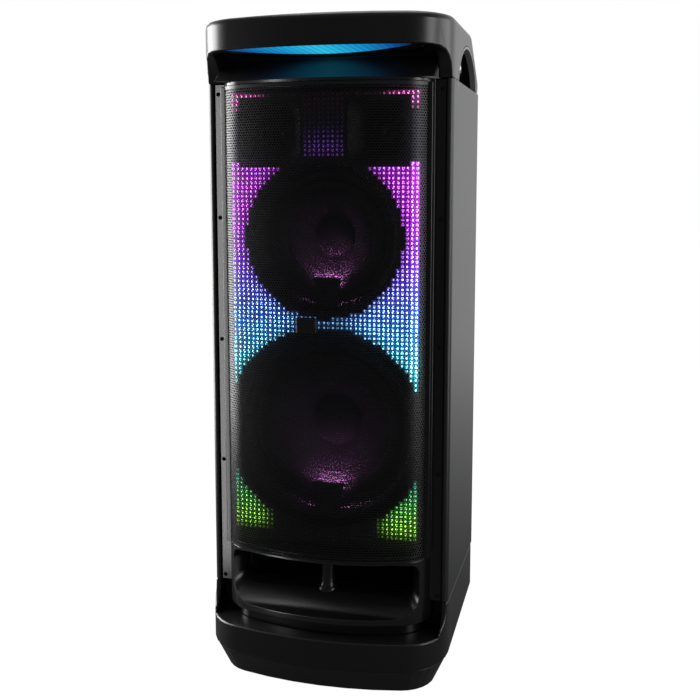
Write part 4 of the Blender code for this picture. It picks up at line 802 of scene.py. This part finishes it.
for name, z, radius, ring_r, ahead, pod_share in woofers:
    centre = (0, WOOFER_FRONT, z)
    body = f"{name}_cone"
    rim, depth = radius - 0.034, 0.58 * radius
    neck, cap_r = depth - 0.024, 0.30 * radius
    bowl = []
    for i in range(13):
        share = i / 12
        r = rim + (COIL_R - rim) * share
        bowl.append((r, neck * (1.28 * share - 0.28 * share**2)))
    radii, depths = zip(*bowl[::-1])
    cap_t = float(numpy.interp(cap_r, radii, depths))
    cone = bowl + [(COIL_R - COIL_HALF, neck), (COIL_R - COIL_HALF, depth + 0.018)]
    cone += [(COIL_R + COIL_HALF, depth + 0.018)]
    cone += [(r, t + 0.0014) for r, t in bowl[::-1]]
    made = turned(f"cone_{name}", "Y", cone, 96, cone_paper, centre, angle=50)
    settle(made, (f"woofer_{name}_cone",), body)
    swell = []
    for a in numpy.linspace(0, CAP_TURN, 9):
        rise = (math.cos(a) - math.cos(CAP_TURN)) / (1 - math.cos(CAP_TURN))
        swell.append((cap_r * math.sin(a) / math.sin(CAP_TURN), cap_t - CAP_RISE * rise))
    dome = swell + [(cap_r + 0.0022, cap_t - 0.0004), (cap_r + 0.0022, cap_t + 0.0004), (0, cap_t + 0.0004)]
    settle(turned(f"dust_cap_{name}", "Y", dome, 72, cone_paper, centre, angle=60), (), body)
    for k, share in enumerate((0.14, 0.24, 0.34)):
        r = rim - share * (rim - cap_r)
        t = float(numpy.interp(r, radii, depths))
        bend = numpy.linspace(0, math.pi, 7)
        bead = [(r + BEAD_WIDE * math.cos(a), t - BEAD_TALL * math.sin(a)) for a in bend]
        bead = [(r + BEAD_WIDE, t + 0.0007)] + bead + [(r - BEAD_WIDE, t + 0.0007)]
        settle(turned(f"cone_{name}_rib_{k + 1}", "Y", bead, 96, cone_paper, centre), (), body)
    near, far = rim - 0.003, radius - 0.016
    middle, wide = (near + far) / 2, (far - near) / 2
    bend = numpy.linspace(0, math.pi, 15)
    roll = [(radius - 0.007, -GAP), (radius - 0.007, -GAP - 0.0012)]
    roll += [(middle + wide * math.cos(a), -GAP - 0.0012 - 0.0066 * math.sin(a)) for a in bend]
    roll += [(near - 0.003, -0.0009), (near - 0.003, -0.0004)]
    roll += [(middle + (wide - 0.001) * math.cos(a), -GAP - 0.0056 * math.sin(a)) for a in bend[::-1]]
    for k in range(SECTORS):
        start, sweep = 360 * k / SECTORS, 360 / SECTORS
        arm = turned(f"surround_{name}_{k + 1}", "Y", roll, 8, roll_rubber, centre, start, sweep, 60)
        aim = math.radians(start + sweep / 2)
        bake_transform(arm)
        if k == 0:
            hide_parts(f"woofer_{name}_surround")
    foot = radius - 0.0055
    flare = [(ring_r, ahead), (ring_r, ahead + 0.003), (foot + 0.0025, -GAP), (foot, -GAP)]
    flare += [(foot + 0.30 * (ring_r - 0.004 - foot), 0.52 * ahead), (ring_r - 0.004, ahead)]
    ring = turned(f"trim_ring_{name}", "Y", flare, 120, trim_abs, centre)
    settle(ring, (f"woofer_{name}_ring",))
    inner, top, toe = pod_share * radius, POD_TOP * radius, POD_TOE * radius
    reach = math.sqrt((POD_REACH * radius) ** 2 - toe**2)
    outline = [(-top, -inner), (-toe, -reach), (toe, -reach), (top, -inner)]
    pod = prism(f"lamp_pod_{name}", "Y", outline, POD_FRONT, POD_BACK, trim_abs, centre, 0.0018, 3)
    settle(pod)
    lip, roof = inner + 0.0085, inner + 0.0013
    visor = [(0.178, -inner), (0.170, -lip), (0.155, -lip), (0.160, -roof)]
    visor = [(share * radius, down) for share, down in visor]
    visor += [(-across, down) for across, down in reversed(visor)]
    hood = prism(f"lamp_pod_{name}_visor", "Y", visor, POD_BACK - 0.0002, VISOR_BACK, trim_abs, centre)
    settle(hood)
    lit = [(-0.095 * radius, -inner - 0.0018), (0.095 * radius, -inner - 0.0018)]
    lit += [(0.092 * radius, -inner - 0.0060), (-0.092 * radius, -inner - 0.0060)]
    lens = prism(f"lamp_pod_{name}_lens", "Y", lit, POD_BACK - 0.0001, LENS_BACK, pod_glow, centre, 0.0004)
    settle(lens)
    for part, coat in (("frame", basket_steel), ("magnet", magnet_coat), ("spider", weave)):
        painted(f"woofer_{name}_{part}", coat)

# Horns: square ABS flares bolted to the baffle, each with a small compression driver behind it.
# A turned phase plug sits in each throat.
for side, name in SIDES:
    refined(f"horn_{name}", f"tweeter_{name}_horn", trim_abs, 0.0006)
    plug = [(0, -0.020), (0.0022, -0.0185), (0.0048, -0.010), (0.0070, 0.0), (0, 0.0)]
    bullet = turned(f"phase_plug_{name}", "Y", plug, 28, drawn_steel, (side * HORN_X, -0.0440, HORN_Z))
    settle(bullet)
    painted(f"tweeter_{name}_driver", magnet_coat)

# Input plate: a moulded plate behind the rear panel with jacks, level knobs, a socket, an inlet and a switch.
# The jacks are nickel sleeves under a hexagon nut.
PLATE_BACK, INPUT_LOW = 0.1516, 0.5601
GRIP_R, GRIP_RIBS, SCALE_R, SCALE_DOTS = 0.0090, 24, 0.0122, 11
refined("input_plate", "input_panel", rear_abs, 0.0005)
nickel = metal("nickel_plate", "B9B5AC", 1 / 700, 0.16, 0.34)
for x, node in ((-0.040, "jack_microphone_1"), (0.0, "jack_microphone_2"), (0.040, "jack_line_in")):
    spot = (x, PLATE_BACK, INPUT_LOW + 0.135)
    sleeve = [(0, -0.020), (0.0074, -0.020), (0.0074, 0.0012), (0.0050, 0.0012), (0.0050, 0.0023)]
    sleeve += [(0.0045, 0.0026), (0.0036, 0.0026), (0.0032, 0.0021), (0.0032, -0.016), (0, -0.016)]
    settle(turned(f"{node}_sleeve", "Y", sleeve, 40, nickel, spot), (node,))
    nut = arc(0, 0, 0.0094, 0, 300, 5)
    settle(prism(f"{node}_nut", "Y", nut, 0.0006, 0.0022, nickel, spot, 0.0004))
for x, node in ((-0.028, "microphone_knob"), (0.028, "echo_knob")):
    spot = (x, PLATE_BACK, INPUT_LOW + 0.098)
    grip = [(0, 0.0114), (0.0066, 0.0114), (0.0072, 0.0120), (0.0080, 0.0120), (0.0088, 0.0112)]
    grip += [(GRIP_R, 0.0008), (0.0030, 0.0008), (0.0030, -0.006), (0, -0.006)]
    settle(turned(f"{node}_grip", "Y", grip, 48, knob_abs, spot), (node,), node)
    fan = full_turn(GRIP_RIBS)
    rib = prism("small_rib", "Y", rounded(0.0005, 0.0005, 0.0002, 2), 0.0012, 0.0106, knob_abs)
    spots = [(x + GRIP_R * math.cos(a), PLATE_BACK, spot[2] + GRIP_R * math.sin(a)) for a in fan]
    settle(repeat(f"{node}_ribs", rib, knob_abs, spots, [(0, -a, 0) for a in fan]), (), node)
    pointer = prism(f"{node}_pointer", "Y", rounded(0.0005, 0.0022, 0.0004, 2), 0.0113, 0.0117, print_white,
                    (x, PLATE_BACK, spot[2] + 0.0040))
    settle(pointer, (), node)
    fan = [math.radians(-60 + 30 * i) for i in range(SCALE_DOTS)]
    dot = turned("scale_dot", "Y", [(0, 0.0), (0.0006, 0.0), (0.0006, 0.0002), (0, 0.0002)], 10, print_white)
    sunk = PLATE_BACK - 0.00005
    spots = [(x + SCALE_R * math.cos(a), sunk, spot[2] + SCALE_R * math.sin(a)) for a in fan]
    settle(repeat(f"{node}_scale", dot, print_white, spots))
refined("usb_shell", "usb_socket", nickel, 0.0003)
tongue = prism("usb_tongue", "Y", rounded(0.0058, 0.0009, 0.0002, 2), -0.0016, 0.0008, print_white,
               (0.040, PLATE_BACK, INPUT_LOW + 0.0625))
settle(tongue)
refined("inlet_shell", "power_inlet", duct_abs, 0.0005)
for k, shift in enumerate((-0.0040, 0.0040)):
    pin = [(0, 0.0012), (0.0008, 0.0010), (0.0012, 0.0004), (0.0012, -0.0012), (0, -0.0012)]
    spot = (-0.034 + shift, PLATE_BACK, INPUT_LOW + 0.034)
    settle(turned(f"inlet_pin_{k + 1}", "Y", pin, 20, nickel, spot))
refined("rocker", "power_switch", gloss_abs, 0.0006, "power_switch")
places = [(x, PLATE_BACK, z) for x in (-0.055, 0.055) for z in (INPUT_LOW + 0.0165, INPUT_LOW + 0.1535)]
plate_screws = repeat("plate_screws", screw_shape(PLATE_SCREW), zinc_black, places, [(0, 0.7, BACK_TURN)] * 4)
settle(plate_screws)

# Inside: the amplifier on its finned heat sink and the battery pack, none of which shows when closed.
# The sink is extruded aluminium, the board is green laminate and the pack is shrink-wrapped.
sink_alloy = moulded("extruded_aluminium", "8B8D90", "9A9CA0", 0.42, 0.0030, 0.00005)
sink_alloy.node_tree.nodes["Principled BSDF"].inputs["Metallic"].default_value = 1.0
laminate = moulded("green_laminate", "17402C", "1F5038", 0.45, 0.0040, 0.00005)
shrink_wrap = moulded("shrink_wrap", "24314A", "2E3C58", 0.40, 0.0050, 0.00010)
for node, coat in (("heat_sink", sink_alloy), ("amplifier_board", laminate), ("battery_pack", shrink_wrap)):
    painted(node, coat)

# Studio: a pale floor, a bright backdrop behind, soft boxes above and beside, and the camera of the photo.
# The room is darker behind the camera, so the black front stays black.
# One strip in front lights the housing alone, for the shine on its left flange.
FLOOR_RADIUS, FLOOR_SHARE = 14.0, 0.9
FLOOR_LIGHT, ROOM_LIGHT = (0.3, 3.0, 0.07, 0.85, 1.1), (0.0, 0.95, 0.10, 0.85, 1.0)


def backlight(tree, way, near, far, dark, bright, seen):
    """A strength that grows from dark to bright along Y, with another value where the camera sees it."""
    axes = add(tree, "ShaderNodeSeparateXYZ", None, {"Vector": way})
    fade = {"Value": axes.outputs["Y"], "From Min": near, "From Max": far, "To Min": dark, "To Max": bright}
    shade = add(tree, "ShaderNodeMapRange", None, fade)
    path = add(tree, "ShaderNodeLightPath")
    choice = {0: path.outputs["Is Camera Ray"], 2: shade.outputs["Result"], 3: seen}
    return add(tree, "ShaderNodeMix", {"data_type": "FLOAT"}, choice).outputs[0]


bm = bmesh.new()
bmesh.ops.create_circle(bm, cap_ends=True, segments=64, radius=FLOOR_RADIUS)
pale_paper, tree, shader, place = blank("pale_paper", {"Base Color": linear("A0A0A0"), "Roughness": 0.9})
level = backlight(tree, place, *FLOOR_LIGHT)
lit = add(tree, "ShaderNodeEmission", None, {"Color": linear("FFFFFF"), "Strength": level})
both = {0: FLOOR_SHARE, 1: shader.outputs["BSDF"], 2: lit.outputs["Emission"]}
floor_mix = add(tree, "ShaderNodeMixShader", None, both)
tree.links.new(floor_mix.outputs["Shader"], tree.nodes["Material Output"].inputs["Surface"])
floor = shown("floor", bm, pale_paper)

scene = bpy.context.scene
world = bpy.data.worlds.new("studio_room")
scene.world = world
world.use_nodes = True
tree = world.node_tree
tree.nodes.clear()
way = add(tree, "ShaderNodeTexCoord").outputs["Generated"]
level = backlight(tree, way, *ROOM_LIGHT)
sky = add(tree, "ShaderNodeBackground", None, {"Color": linear("FFFFFF"), "Strength": level})
add(tree, "ShaderNodeOutputWorld", None, {"Surface": sky.outputs["Background"]})

boxes = [
    ("top_box", (0.0, 0.25, 2.4), (0.0, 0.0, 0.6), 1.2, 1.2, 10.0),
    ("right_box", (1.9, 0.7, 1.2), (0.1, 0.0, 0.55), 1.3, 1.3, 12.0),
    ("left_box", (-1.60, 0.15, 0.75), (-0.1, -0.05, 0.55), 1.10, 1.8, 62.0),
    ("right_strip", (1.70, -0.55, 0.75), (0.1, -0.05, 0.55), 0.60, 1.7, 13.0),
    ("flange_strip", (-0.313, -0.45, 0.46), (-0.169, -0.092, 0.46), 0.06, 1.0, 1.8),
]
for name, spot, aim, wide, tall, power in boxes:
    lamp = bpy.data.lights.new(name, "AREA")
    lamp.shape = "RECTANGLE"
    lamp.size = wide
    lamp.size_y = tall
    lamp.energy = power
    stand = bpy.data.objects.new(name, lamp)
    scene.collection.objects.link(stand)
    stand.location = spot
    stand.visible_camera = False
    away = [a - b for a, b in zip(aim, spot)]
    flat = math.hypot(away[0], away[1])
    stand.rotation_euler = (math.atan2(flat, -away[2]), 0, math.atan2(-away[0], away[1]))
    if name == "flange_strip":
        lit_pieces = bpy.data.collections.new("lit_by_flange_strip")
        lit_pieces.objects.link(housing)
        stand.light_linking.receiver_collection = lit_pieces

SENSOR_MM, LENS_MM, LENS_SHIFT = 36.0, 50.90, -0.0643
CAMERA_SPOT, CAMERA_TILT, CAMERA_TURN = (0.3980, -1.4970, 0.7439), 83.167, 14.530
lens = bpy.data.cameras.new("photo_camera")
lens.sensor_width = SENSOR_MM
lens.lens = LENS_MM
lens.shift_y = LENS_SHIFT
camera = bpy.data.objects.new("photo_camera", lens)
scene.collection.objects.link(camera)
camera.location = CAMERA_SPOT
camera.rotation_euler = (math.radians(CAMERA_TILT), 0, math.radians(CAMERA_TURN))
scene.camera = camera
scene.view_settings.view_transform = "Standard"
